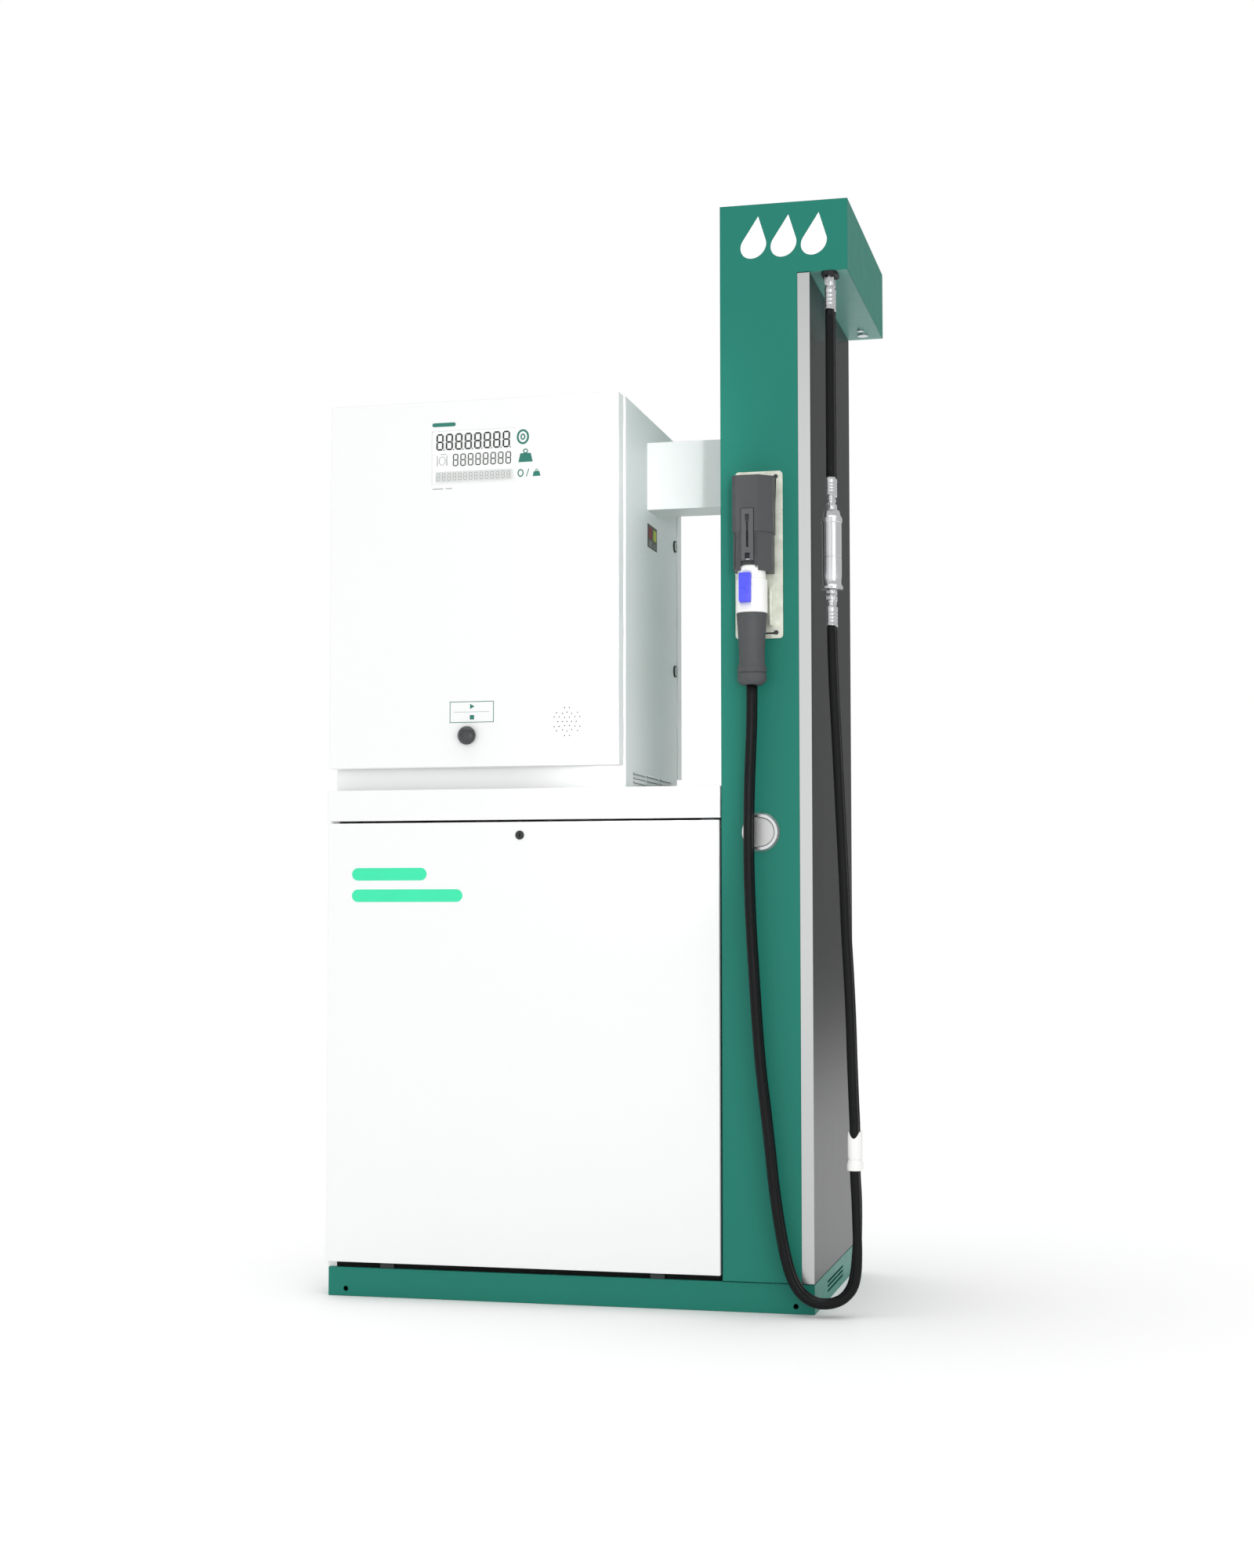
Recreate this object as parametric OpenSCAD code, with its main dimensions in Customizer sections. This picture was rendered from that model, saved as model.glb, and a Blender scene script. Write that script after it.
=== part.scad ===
// Compressed gas dispenser: plinth, cabinet, display head, hose column with one twin hose and nozzle.
// Origin: centre of the plinth at floor level. +Z up, +X towards the hose column, the front faces -Y.

/* [Plinth] */
// Width of the plinth along X
plinth_w = 1050; // [900:10:1300]
// Depth of the plinth along Y
plinth_d = 580; // [500:10:700]
// Height of the plinth
plinth_h = 60; // [50:1:120]
// Sheet thickness of the plinth
plinth_t = 4; // [3:0.5:6]
// Width of the flanges turned in at the bottom and top of the plinth
plinth_flange = 40; // [35:1:60]
// Diameter of the floor anchor holes
anchor_d = 14; // [8:1:18]
// Diameter of the fixing holes in the front and rear faces
face_hole_d = 11; // [6:1:14]
// Distance of the face holes from the plinth ends
face_hole_inset = 39; // [25:1:120]
// Height of the face holes above the floor
face_hole_z = 15; // [12:1:40]

/* [Cabinet] */
// Depth of the cabinet and of the head over both doors
cab_d = 600; // [560:10:760]
// Overhang of the cabinet past the left end of the plinth
cab_over = 5; // [2:1:12]
// Height of the top face of the cabinet
cab_top = 1079; // [900:1:1250]
// Height of the band below the cabinet top
fascia_h = 66; // [50:1:100]
// Sheet thickness of all covers
sheet = 2; // [1.5:0.5:3]
// Depth of the return flanges of the service panels
panel_d = 18; // [14:1:30]
// Gap between a service panel and the band above it
panel_gap = 5; // [3:1:10]
// Height of a service panel above the plinth
panel_lift = 13; // [8:1:20]
// Distance of the two panel hooks from the middle of the panel
hook_offset = 295; // [150:5:330]
// Depth of the panel lock below the panel's top edge
lock_drop = 28; // [24:1:60]

/* [Head] */
// Width of the head housing
head_w = 648; // [560:2:700]
// Width of a head door
door_w = 645; // [540:1:690]
// Height of the head doors
door_h = 790; // [600:10:900]
// Depth of a head door's rim
door_d = 41; // [34:1:50]
// Clear height of the neck between the cabinet and the doors
neck_h = 48; // [40:1:80]
// Gap between a door's rim and the housing
door_gap = 4; // [4:0.5:8]
// Width of the display window
window_w = 187; // [120:1:260]
// Height of the display window
window_h = 115; // [60:1:160]
// Window centre from the middle of the door, and below its top edge
window_at = [1, 122]; // [0:1:200]
// Diameter of the push knob
knob_d = 40; // [28:1:60]
// Knob centre from the middle of the door, and above its lower edge
knob_at = [-9, 66]; // [-100:1:150]
// Travel of the push knob
knob_travel = 5; // [3:0.5:8]
// Speaker centre from the middle of the door, and above its lower edge
speaker_at = [210, 92]; // [60:1:250]
// Diameter of one speaker hole
speaker_hole_d = 3; // [2:0.5:4]
// Spacing of the rings of speaker holes
speaker_pitch = 10; // [8:1:14]
// Diameter of the door locks on the housing's side
door_lock_d = 28; // [22:1:36]
// Heights of the door locks below the top of the head
door_lock_drop = [247, 540]; // [100:1:700]

/* [Column] */
// Width of the column along X
col_w = 190; // [150:5:260]
// Depth of the column along Y
col_d = 588; // [560:4:700]
// Height of the top of the canopy above the floor
total_h = 2300; // [2150:10:2500]
// Height of the canopy band
canopy_h = 150; // [120:5:220]
// Overhang of the canopy past the column
canopy_over = 80; // [60:5:140]
// Width of the bright steel return at the column's right edge
strip_w = 26; // [15:1:40]
// Height of the box duct between head and column
duct_h = 150; // [100:5:200]
// Depth of the box duct
duct_d = 100; // [60:5:160]
// Height of the duct's underside above the floor
duct_z = 1708; // [1500:2:1750]

/* [Round port] */
// Outer diameter of the round port on the column
port_d = 82; // [60:1:110]
// Height of the port's centre
port_z = 982; // [700:2:1200]

/* [Hose line] */
// Outer diameter of each hose
hose_d = 19; // [15:0.5:24]
// Clear gap between the fill hose and the vent hose
twin_gap = 3; // [3:0.5:7]
// Wall of the ferrules crimped over the hoses
ferrule_wall = 0.9; // [0.6:0.1:1.3]
// Diameter of the breakaway coupling's body
breakaway_d = 41; // [36:1:60]

/* [Holster and nozzle] */
// Width of the holster plate
plate_w = 100; // [90:1:110]
// Height of the holster plate
plate_h = 350; // [300:5:420]
// Thickness of the holster plate
plate_t = 5; // [3:1:8]
// Diameter of the nozzle's white sleeve
sleeve_d = 65; // [60:1:66]
// Diameter of the nozzle's grip
grip_d = 54; // [44:1:56]

/* [Hidden] */

seat = 0.3;
slit = 2;
white = "whitesmoke";
green = "#24806e";
steel = "silver";
dark = "#4a4c4e";
black = "#1c1c1e";

// Main planes of the object
left = -plinth_w / 2;
right = plinth_w / 2;
col_x0 = right - col_w;
cab_x0 = left - cab_over;
cab_x1 = col_x0 - slit;
cab_y = cab_d / 2;
fascia_z = cab_top - fascia_h;
col_y = col_d / 2;
col_z0 = plinth_h + slit;
canopy_z = total_h - canopy_h;
canopy_x1 = right + canopy_over;
front_mid = (col_x0 + right - strip_w) / 2;

module at(x, y, z) { translate([x, y, z]) children(); }
// A box given by its lowest and highest corners
module block(lo, hi) { translate(lo) cube(hi - lo); }
// A round bar along Y, from y0 to y1
module bar_y(r, y0, y1) { translate([0, y0, 0]) rotate([-90, 0, 0]) cylinder(r = r, h = y1 - y0, $fn = 64); }
// A round bar along X, from x0 to x1
module bar_x(r, x0, x1) { translate([x0, 0, 0]) rotate([0, 90, 0]) cylinder(r = r, h = x1 - x0, $fn = 64); }
// A hexagon nut standing on z = 0, with its flats towards +Y and -Y
module hex_nut(flats, h) { cylinder(d = flats / cos(30), h = h, $fn = 6); }

// ---- Plinth ----
anchor_inset = 22;
vent_slot = [5, 228];
vent_rows = [19, 29, 38];
anchor_x = plinth_w / 2 - anchor_inset;
anchor_y = plinth_d / 2 - anchor_inset;

module plinth() {
  color(green) difference() {
    block([left, -plinth_d / 2, 0], [right, plinth_d / 2, plinth_h]);
    block([left + plinth_t, -plinth_d / 2 + plinth_t, plinth_t],
          [right - plinth_t, plinth_d / 2 - plinth_t, plinth_h - plinth_t]);
    block([left + plinth_flange, -plinth_d / 2 + plinth_flange, -1],
          [right - plinth_flange, plinth_d / 2 - plinth_flange, plinth_h + 1]);
    for (sx = [-1, 1], sy = [-1, 1])
      at(sx * anchor_x, sy * anchor_y, -1) cylinder(d = anchor_d, h = plinth_t + 2, $fn = 48);
    for (sx = [-1, 1])
      at(sx * (plinth_w / 2 - face_hole_inset), 0, face_hole_z)
        bar_y(face_hole_d / 2, -plinth_d, plinth_d);
    for (z = vent_rows)
      block([left - 1, -vent_slot[1] / 2, z - vent_slot[0] / 2],
            [right + 1, vent_slot[1] / 2, z + vent_slot[0] / 2]);
  }
}

// ---- Shared sizes of the cabinet covers ----
side_d = 20;
lip = 16;
neck_hole = [420, 300];
head_inset = 3.5;
head_x0 = cab_x0 + head_inset;
head_x1 = head_x0 + head_w;
head_mid = (head_x0 + head_x1) / 2;

// ---- Welded frame: posts, base rail and equipment plate ----
post = 30;
post_wall = 3;
plate_x = [cab_x0 + 60, cab_x1 - 40];
equip_t = 4;
equip_y = post / 2;

module tube_post(x, y, z0, z1) {
  difference() {
    block([x, y, z0], [x + post, y + post, z1]);
    block([x + post_wall, y + post_wall, z0 - 1], [x + post - post_wall, y + post - post_wall, z1 + 1]);
  }
}

module frame() {
  color("slategray") {
    post_y = plinth_d / 2 - plinth_flange + 5;
    for (x = [cab_x0 + side_d + slit, cab_x1 - lip - post - slit], sy = [-1, 1])
      tube_post(x, sy > 0 ? post_y - post : -post_y, plinth_h, cab_top - sheet);
    for (sy = [-1, 1])
      tube_post(col_x0 + 3 * sheet, sy > 0 ? post_y - post : -post_y, plinth_h, total_h - sheet);
    block([cab_x0 + side_d, 0, plinth_h], [right - plinth_t, post, plinth_h + post]);
    block([plate_x[0], equip_y, plinth_h + post + seat], [plate_x[1], equip_y + equip_t, fascia_z - 10]);
  }
}

// ---- Cabinet covers ----
module cabinet_side() {
  color(white) difference() {
    block([cab_x0, -cab_y + panel_d + slit, plinth_h], [cab_x0 + side_d, cab_y - panel_d - slit, fascia_z]);
    block([cab_x0 + sheet, -cab_y + panel_d + slit + sheet, plinth_h + sheet],
          [cab_x0 + side_d + 1, cab_y - panel_d - slit - sheet, fascia_z - sheet]);
  }
}

module top_cover() {
  color(white) difference() {
    block([cab_x0, -cab_y, fascia_z], [cab_x1, cab_y, cab_top]);
    block([cab_x0 + sheet, -cab_y + sheet, fascia_z + sheet],
          [cab_x1 - sheet, cab_y - sheet, cab_top - sheet]);
    block([cab_x0 + side_d, -cab_y + lip, fascia_z - 1], [cab_x1 - lip, cab_y - lip, fascia_z + sheet + 1]);
    block([head_mid - neck_hole[0] / 2, -neck_hole[1] / 2, cab_top - sheet - 1],
          [head_mid + neck_hole[0] / 2, neck_hole[1] / 2, cab_top + 1]);
  }
}

// ---- Service panels with their hooks and cam locks ----
panel_x0 = cab_x0 + slit;
panel_x1 = cab_x1 - slit;
panel_z0 = plinth_h + panel_lift;
panel_z1 = fascia_z - panel_gap;
panel_mid = (panel_x0 + panel_x1) / 2;
panel_lock_z = panel_z1 - lock_drop;
hook_y = plinth_d / 2 - 1;
hook_w = 30;
hook_t = 6;
panel_lock_r = 8;
fit = 0.05;
cam_t = 3;
cam_w = 14;
panel_cam_l = lock_drop + 9;

module service_panel() {
  color(white) {
    difference() {
      block([panel_x0, -cab_y, panel_z0], [panel_x1, -cab_y + panel_d, panel_z1]);
      block([panel_x0 + sheet, -cab_y + sheet, panel_z0 + sheet],
            [panel_x1 - sheet, -cab_y + panel_d + 1, panel_z1 - sheet]);
      at(panel_mid, 0, panel_lock_z) bar_y(panel_lock_r + fit, -cab_y - 1, 0);
    }
    for (side = [-1, 1])
      block([panel_mid + side * hook_offset - hook_w / 2, -hook_y, plinth_h + seat],
            [panel_mid + side * hook_offset + hook_w / 2, -hook_y + hook_t, panel_z0 + sheet / 2]);
  }
}

module panel_lock() {
  color(black) at(panel_mid, 0, panel_lock_z) difference() {
    union() {
      bar_y(panel_lock_r, -cab_y - 1, -cab_y + panel_d + slit + cam_t);
      bar_y(panel_lock_r + 1.5, -cab_y - 1.5, -cab_y - seat);
      block([0, -cab_y + panel_d + slit, -cam_w / 2],
            [panel_cam_l, -cab_y + panel_d + slit + cam_t, cam_w / 2]);
    }
    block([-1, -cab_y - 3, -4], [1, -cab_y + 4, 4]);
  }
}

module front_panel() { service_panel(); }
module rear_panel() { mirror([0, 1, 0]) service_panel(); }
module front_panel_lock() { panel_lock(); }
module rear_panel_lock() { mirror([0, 1, 0]) panel_lock(); }

// ---- Display head ----
head_y = cab_y - door_d - door_gap;
door_z0 = cab_top + neck_h;
door_z1 = door_z0 + door_h;
door_shift = 3;
rim = 30;
louvre_w = 118;
louvre_h = 5;
louvre_rows = 4;
louvre_pitch = 9.5;
louvre_out = 4;
barrel_l = 34;
lock_y = head_y - 25;
lock_r = 11;
lock_z = [for (drop = door_lock_drop) door_z1 - drop];

// A turned-out louvre hood on the side wall, at x = 0 with its slot below it
module louvre_hood() {
  rotate([90, 0, 0]) linear_extrude(louvre_w, center = true)
    polygon([[-0.5, louvre_h], [louvre_out, 1.5], [louvre_out, 0], [louvre_out - 1.2, 0], [-0.5, 3]]);
}

module louvre_grid() {
  for (row = [0:louvre_rows - 1], col = [-1, 0, 1])
    at(0, col * (louvre_w + 12), cab_top + 6 + row * louvre_pitch) children();
}

module head_housing() {
  color(white) {
    difference() {
      block([head_x0, -head_y, cab_top], [head_x1, head_y, door_z1]);
      block([head_x0 + sheet, -head_y + sheet, cab_top - 1],
            [head_x1 - sheet, head_y - sheet, door_z1 - sheet]);
      block([head_x0 + rim, -head_y - 1, door_z0 + 12], [head_x1 - rim, head_y + 1, door_z1 - 12]);
      louvre_grid() block([head_x0 - 1, -louvre_w / 2 + 2, -1], [head_x1 + 1, louvre_w / 2 - 2, 3]);
      for (z = lock_z) {
        at(0, lock_y, z) bar_x(lock_r + fit, head_x1 - 10, head_x1 + 1);
        at(0, -lock_y, z) bar_x(lock_r + fit, head_x0 - 1, head_x0 + 10);
      }
      block([head_x1 - 10, -duct_d / 2 + 10, duct_z + 10],
            [head_x1 + 1, duct_d / 2 - 10, duct_z + duct_h - 10]);
    }
    at(head_x1, 0, 0) louvre_grid() louvre_hood();
    at(head_x0, 0, 0) mirror([1, 0, 0]) louvre_grid() louvre_hood();
  }
}

// The door pan as it stands on the front, without its openings
door_x1 = head_mid - door_shift + door_w / 2;
door_x0 = door_x1 - door_w;
door_mid = (door_x0 + door_x1) / 2;
hinge_in = 6;
hinge_x = door_x1 - hinge_in;
hinge_y = -cab_y + door_d - 3;
hinge_r = 4;
hinge_pin_r = 2;
leaf_h = 30;
leaf_in = 3.3;
hinge_rows = [door_z0 + 90, door_z1 - 90];
keeper_reach = head_y - 40;
keeper_x = door_x0 + 34;
keeper_t = 6;
keeper_hook = 12.5;
keeper_z = 15;
keeper_h = 14;
cam_reach = 32;

module door_pan() {
  difference() {
    block([door_x0, -cab_y, door_z0], [door_x1, -cab_y + door_d, door_z1]);
    block([door_x0 + sheet, -cab_y + sheet, door_z0 + sheet],
          [door_x1 - sheet, -cab_y + door_d + 1, door_z1 - sheet]);
  }
  for (z = hinge_rows) difference() {
    union() {
      at(hinge_x, hinge_y, z + seat) cylinder(r = hinge_r, h = leaf_h, $fn = 48);
      block([hinge_x, hinge_y - leaf_in, z + 1], [door_x1 - sheet / 2, hinge_y + 1, z + leaf_h - 1]);
    }
    at(hinge_x, hinge_y, z - 1) cylinder(r = hinge_pin_r + fit, h = leaf_h + 4, $fn = 48);
  }
  for (z = lock_z) {
    block([keeper_x + keeper_hook, -cab_y + sheet / 2, z + keeper_z],
          [keeper_x + keeper_hook + keeper_t, -keeper_reach, z + keeper_z + keeper_h]);
    block([keeper_x, -keeper_reach - keeper_t, z + keeper_z],
          [keeper_x + keeper_hook + keeper_t, -keeper_reach, z + keeper_z + keeper_h]);
  }
}

// Fixed leaf of one door's hinges, with its pin
module hinge_leaves() {
  for (z = hinge_rows) {
    union() {
      at(hinge_x, hinge_y, z - leaf_h) cylinder(r = hinge_r, h = leaf_h, $fn = 48);
      at(hinge_x, hinge_y, z - 1) cylinder(r = hinge_pin_r, h = leaf_h + 1, $fn = 48);
      block([hinge_x - 10, hinge_y - leaf_in, z - leaf_h + 1], [hinge_x, hinge_y - 1, z - 1]);
      block([hinge_x - 10, hinge_y - leaf_in, z - leaf_h + 1], [hinge_x - 4.8, -head_y, z - 1]);
    }
  }
}

// Turns a shape of the front door about the head's own middle, onto the rear
module turned_to_rear() {
  translate([head_mid, 0, 0]) rotate([0, 0, 180]) translate([-head_mid, 0, 0]) children();
}

win_x = door_mid + window_at[0];
win_z = door_z1 - window_at[1];
knob_x = door_mid + knob_at[0];
knob_z = door_z0 + knob_at[1];
spk_x = door_mid + speaker_at[0];
spk_z = door_z0 + speaker_at[1];
stem_r = knob_d / 4;
stem_in = 13;
knob_dome = 13;
lens_t = 3;
lens_lap = 4;

// Ring number and angle of each speaker hole; the outer ring leaves out every third
speaker_holes = concat([[0, 0]],
  [for (ring = [1:3], i = [0:6 * ring - 1]) if (ring < 3 || i % 3 != 0) [ring, 60 / ring * i]]);

module front_door() {
  color(white) difference() {
    door_pan();
    block([win_x - window_w / 2, -cab_y - 1, win_z - window_h / 2],
          [win_x + window_w / 2, -cab_y + sheet + 1, win_z + window_h / 2]);
    at(knob_x, 0, knob_z) bar_y(stem_r + 1, -cab_y - 1, -cab_y + sheet + 1);
    for (hole = speaker_holes)
      at(spk_x + hole[0] * speaker_pitch * cos(hole[1]), 0, spk_z + hole[0] * speaker_pitch * sin(hole[1]))
        bar_y(speaker_hole_d / 2, -cab_y - 1, -cab_y + sheet + 1);
  }
}

module rear_door() { color(white) turned_to_rear() door_pan(); }

module door_hinges() {
  color(steel) {
    hinge_leaves();
    turned_to_rear() hinge_leaves();
  }
}

// One door lock's barrel on the front door's side of the housing
module lock_barrel(z) {
  at(0, -lock_y, z) difference() {
    union() {
      bar_x(door_lock_d / 2, head_x0 - 4, head_x0);
      bar_x(lock_r, head_x0 - 1, head_x0 + barrel_l);
    }
    bar_x(6 + fit, head_x0 - 5, head_x0 + barrel_l + 1);
  }
}

module door_lock_barrels() {
  color(steel) for (z = lock_z) {
    lock_barrel(z);
    turned_to_rear() lock_barrel(z);
  }
}

// One lock's turning plug and cam, open: the cam points at the door and turns up before its keeper
module lock_cam(z) {
  color(dark) at(0, -lock_y, z) difference() {
    union() {
      bar_x(6, head_x0 - 4.5, head_x0 + barrel_l + seat + cam_t);
      block([head_x0 + barrel_l + seat, -cam_reach, -cam_w / 2],
            [head_x0 + barrel_l + seat + cam_t, cam_w / 2, cam_w / 2]);
    }
    block([head_x0 - 6, -0.8, -3.5], [head_x0 - 1, 0.8, 3.5]);
  }
}

module front_upper_cam() { lock_cam(lock_z[0]); }
module front_lower_cam() { lock_cam(lock_z[1]); }
module rear_upper_cam() { turned_to_rear() lock_cam(lock_z[0]); }
module rear_lower_cam() { turned_to_rear() lock_cam(lock_z[1]); }

module display_window() {
  color("lightgray", 0.6)
    block([win_x - window_w / 2 - lens_lap, -cab_y + sheet, win_z - window_h / 2 - lens_lap],
          [win_x + window_w / 2 + lens_lap, -cab_y + sheet + lens_t, win_z + window_h / 2 + lens_lap]);
}

module display_module() {
  y0 = -cab_y + sheet + lens_t;
  color("darkseagreen") {
    block([win_x - window_w / 2 - 12, y0, win_z - window_h / 2 - 12],
          [win_x + window_w / 2 + 12, y0 + 18, win_z + window_h / 2 + 12]);
  }
}

module push_knob() {
  color(dark) at(knob_x, 0, knob_z) {
    rotate([90, 0, 0]) translate([0, 0, cab_y]) rotate_extrude($fn = 96)
      polygon(concat([[0, -stem_in], [stem_r, -stem_in], [stem_r, knob_travel + 1.5]],
        [[knob_d / 2 - 1, knob_travel + 1.5], [knob_d / 2, knob_travel + 3]],
        [for (a = [15:15:75]) [knob_d / 2 * cos(a), knob_travel + 3 + knob_dome * sin(a)]],
        [[0, knob_travel + 3 + knob_dome]]));
  }
}

module switch_block() {
  color(black) at(knob_x, 0, knob_z) difference() {
    bar_y(stem_r + 6, -cab_y + sheet, -cab_y + door_d - 4);
    bar_y(stem_r + fit, -cab_y + sheet - 1, -cab_y + stem_in + knob_travel + 1);
  }
}

module speaker() {
  color(black) at(spk_x, 0, spk_z) {
    bar_y(40, -cab_y + sheet, -cab_y + sheet + 6);
    bar_y(22, -cab_y + sheet + 6, -cab_y + sheet + 24);
  }
}

label_w = 90;
label_h = 52;

module label_plate() {
  color(black) block([head_x1, -48, duct_z - 81], [head_x1 + 1, -48 + label_w, duct_z - 81 + label_h]);
}

module controller() {
  color("olivedrab")
    block([head_x0 + sheet, -130, door_z1 - 440], [head_x0 + sheet + 60, 130, door_z1 - 140]);
}

module power_supply() {
  color("gray") block([head_x0 + sheet, -100, door_z0 + 60], [head_x0 + sheet + 70, 100, door_z0 + 190]);
}

// ---- Duct, column and canopy ----
wall_hole = [120, 160];
wall_hole_z = 640;

module box_duct() {
  color(white) difference() {
    block([head_x1, -duct_d / 2, duct_z], [col_x0, duct_d / 2, duct_z + duct_h]);
    block([head_x1 - 1, -duct_d / 2 + sheet, duct_z + sheet],
          [col_x0 + 1, duct_d / 2 - sheet, duct_z + duct_h - sheet]);
  }
}

// The column and canopy front cut from one sheet
module l_sheet() {
  block([col_x0, -col_y, col_z0], [right - strip_w, -col_y + sheet, total_h]);
  block([right - strip_w - 1, -col_y, canopy_z], [canopy_x1, -col_y + sheet, total_h]);
}

// Clears the base rail where it crosses the column's left wall
module rail_notch() {
  block([col_x0 - 1, -seat, col_z0 - 1], [col_x0 + sheet + 1, post + seat, plinth_h + post + seat]);
}

module column_front() {
  color(green) difference() {
    union() {
      l_sheet();
      block([col_x0, -col_y + sheet / 2, col_z0], [col_x0 + sheet, 0, total_h]);
    }
    block([col_x0 - 1, -duct_d / 2 + 10, duct_z + 10], [col_x0 + sheet + 1, 1, duct_z + duct_h - 10]);
    block([col_x0 - 1, -wall_hole[0], wall_hole_z], [col_x0 + sheet + 1, 1, wall_hole_z + wall_hole[1]]);
    at(front_mid, 0, port_z) bar_y(port_d / 2 - 8, -col_y - 1, -col_y + sheet + 1);
    rail_notch();
  }
}

module column_rear() {
  color(green) difference() {
    mirror([0, 1, 0]) union() {
      l_sheet();
      block([col_x0, -col_y + sheet / 2, col_z0], [col_x0 + sheet, 0, total_h]);
    }
    block([col_x0 - 1, -1, duct_z + 10], [col_x0 + sheet + 1, duct_d / 2 - 10, duct_z + duct_h - 10]);
    block([col_x0 - 1, -1, wall_hole_z], [col_x0 + sheet + 1, wall_hole[0], wall_hole_z + wall_hole[1]]);
    rail_notch();
  }
}

module column_side_cover() {
  color("darkgray") difference() {
    block([right - strip_w + 0.5, -col_y, col_z0], [right, col_y, canopy_z - slit]);
    block([right - strip_w, -col_y + sheet, col_z0 - 1], [right - sheet, col_y - sheet, canopy_z]);
  }
}

module canopy_shell() {
  color(green) {
    block([col_x0 + sheet, -col_y + sheet, total_h - sheet], [canopy_x1, col_y - sheet, total_h]);
    block([canopy_x1 - sheet, -col_y + sheet, canopy_z], [canopy_x1, col_y - sheet, total_h - sheet / 2]);
  }
}

// ---- Hose outlets in the canopy's underside ----
twin_pitch = hose_d + twin_gap;
ferrule_d = hose_d + 2 * ferrule_wall;
hose_x = right + 40;
hose_y = -268;
grommet_w = 34;
grommet_lap = 5;
plug_y = [203, 247];
plug_r = [7, 12];

// A flat oval around the two hoses, drawn on the floor plane
module oval(w) {
  for (s = [-1, 1]) at(0, s * twin_pitch / 2, 0) circle(d = w, $fn = 64);
  square([w, twin_pitch], center = true);
}

module canopy_underside() {
  color("#3f8f7e") difference() {
    block([right - strip_w + 2, -col_y + sheet, canopy_z],
          [canopy_x1 - sheet, col_y - sheet, canopy_z + sheet]);
    at(hose_x, hose_y, canopy_z - 1) linear_extrude(sheet + 2) oval(grommet_w - 2 * grommet_lap);
    for (i = [0, 1])
      at(hose_x, plug_y[i], canopy_z - 1) cylinder(r = plug_r[i] - 2, h = sheet + 2, $fn = 48);
  }
}

grommet_lip = 8;
nut_af = 19;
nut_drop = 22;
swivel_r = 7;

module hose_grommet() {
  color(black) at(hose_x, hose_y, 0) difference() {
    union() {
      at(0, 0, canopy_z - grommet_lip) linear_extrude(grommet_lip) oval(grommet_w);
      at(0, 0, canopy_z - 1) linear_extrude(sheet + 5) oval(grommet_w - 2 * grommet_lap - 0.2);
    }
    for (s = [-1, 1])
      at(0, s * twin_pitch / 2, canopy_z - grommet_lip - 1) cylinder(r = swivel_r + seat, h = 30, $fn = 48);
  }
}

module blanking_plugs() {
  color(steel) for (i = [0, 1]) at(hose_x, plug_y[i], 0) {
    at(0, 0, canopy_z - 4) cylinder(r = plug_r[i], h = 4, $fn = 48);
    at(0, 0, canopy_z - 1) cylinder(r = plug_r[i] - 2 - fit, h = 10, $fn = 48);
  }
}

// ---- Twin hose line: nuts, ferrules and breakaway coupling ----
up_nut_z = canopy_z - grommet_lip - nut_drop;
up_ferrule_z = up_nut_z - 50;
brk_top = canopy_z - 501;
up_end_z = brk_top + 69;
brk_low = [brk_top - 148, brk_top - 165];
low_nut_z = brk_low[1] - 24;
low_ferrule_z = low_nut_z - 10;
low_hose_z = low_ferrule_z - 43;

// Both lines of the twin hose, at the fill line's and at the vent line's place
module twin() { for (s = [-1, 1]) at(hose_x, hose_y + s * twin_pitch / 2, 0) children(); }

module hose_fittings() {
  color(steel) twin() {
    at(0, 0, up_nut_z + 19) cylinder(r = swivel_r, h = canopy_z - up_nut_z + 21, $fn = 48);
    at(0, 0, up_nut_z) hex_nut(nut_af, 20);
    at(0, 0, up_ferrule_z) cylinder(d = ferrule_d, h = 48, $fn = 64);
    at(0, 0, up_ferrule_z + 47) cylinder(r = swivel_r, h = 4, $fn = 48);
    at(0, 0, up_end_z - 39) cylinder(d = ferrule_d, h = 39, $fn = 64);
    at(0, 0, brk_top + 14) cylinder(r = swivel_r - 0.5, h = up_end_z - 39 - brk_top - 13, $fn = 48);
    at(0, 0, brk_top) hex_nut(nut_af, 15);
    at(0, 0, low_nut_z) hex_nut(nut_af, 24);
    at(0, 0, low_ferrule_z - 1) cylinder(r = swivel_r, h = 12, $fn = 48);
    at(0, 0, low_hose_z) cylinder(d = ferrule_d, h = 43, $fn = 64);
  }
}

module breakaway() {
  r = breakaway_d / 2;
  color(steel) at(hose_x, hose_y, 0) {
    at(0, 0, brk_low[1]) rotate_extrude($fn = 96)
      polygon([[0, 0], [r + 2.5, 0], [r + 2.5, 7], [r, 11], [r - 1, 17], [r - 1, 22], [r, 26],
        [r, 139], [r + 1.5, 141], [r + 1.5, 150], [r - 2, 155], [r - 4, 165], [0, 165]]);
  }
}

// Middle line of the twin hose below the breakaway; round numbers, chosen by hand
low_route = [
  [565, -268, 1407], [566, -269, 1355], [569, -271, 1272], [574, -273, 1173], [579, -276, 1074],
  [584, -280, 975], [589, -283, 876], [593, -286, 778], [598, -289, 690], [602, -291, 604],
  [605, -294, 510], [608, -296, 430], [610, -297, 374], [610, -297, 294], [613, -299, 233],
  [615, -301, 175], [616, -302, 128], [614, -303, 88], [606, -305, 59], [587, -308, 38],
  [561, -312, 28], [532, -316, 29], [508, -319, 42], [492, -320, 61], [480, -321, 87],
  [471, -323, 120], [463, -324, 160], [455, -325, 210], [447, -325, 270], [440, -326, 340],
  [431, -326, 420], [422, -327, 500], [415, -328, 590], [409, -329, 690], [403, -330, 800],
  [400, -331, 900], [400, -332, 990], [402, -334, 1080], [407, -335, 1200], [408, -335, 1282]
];
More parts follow.
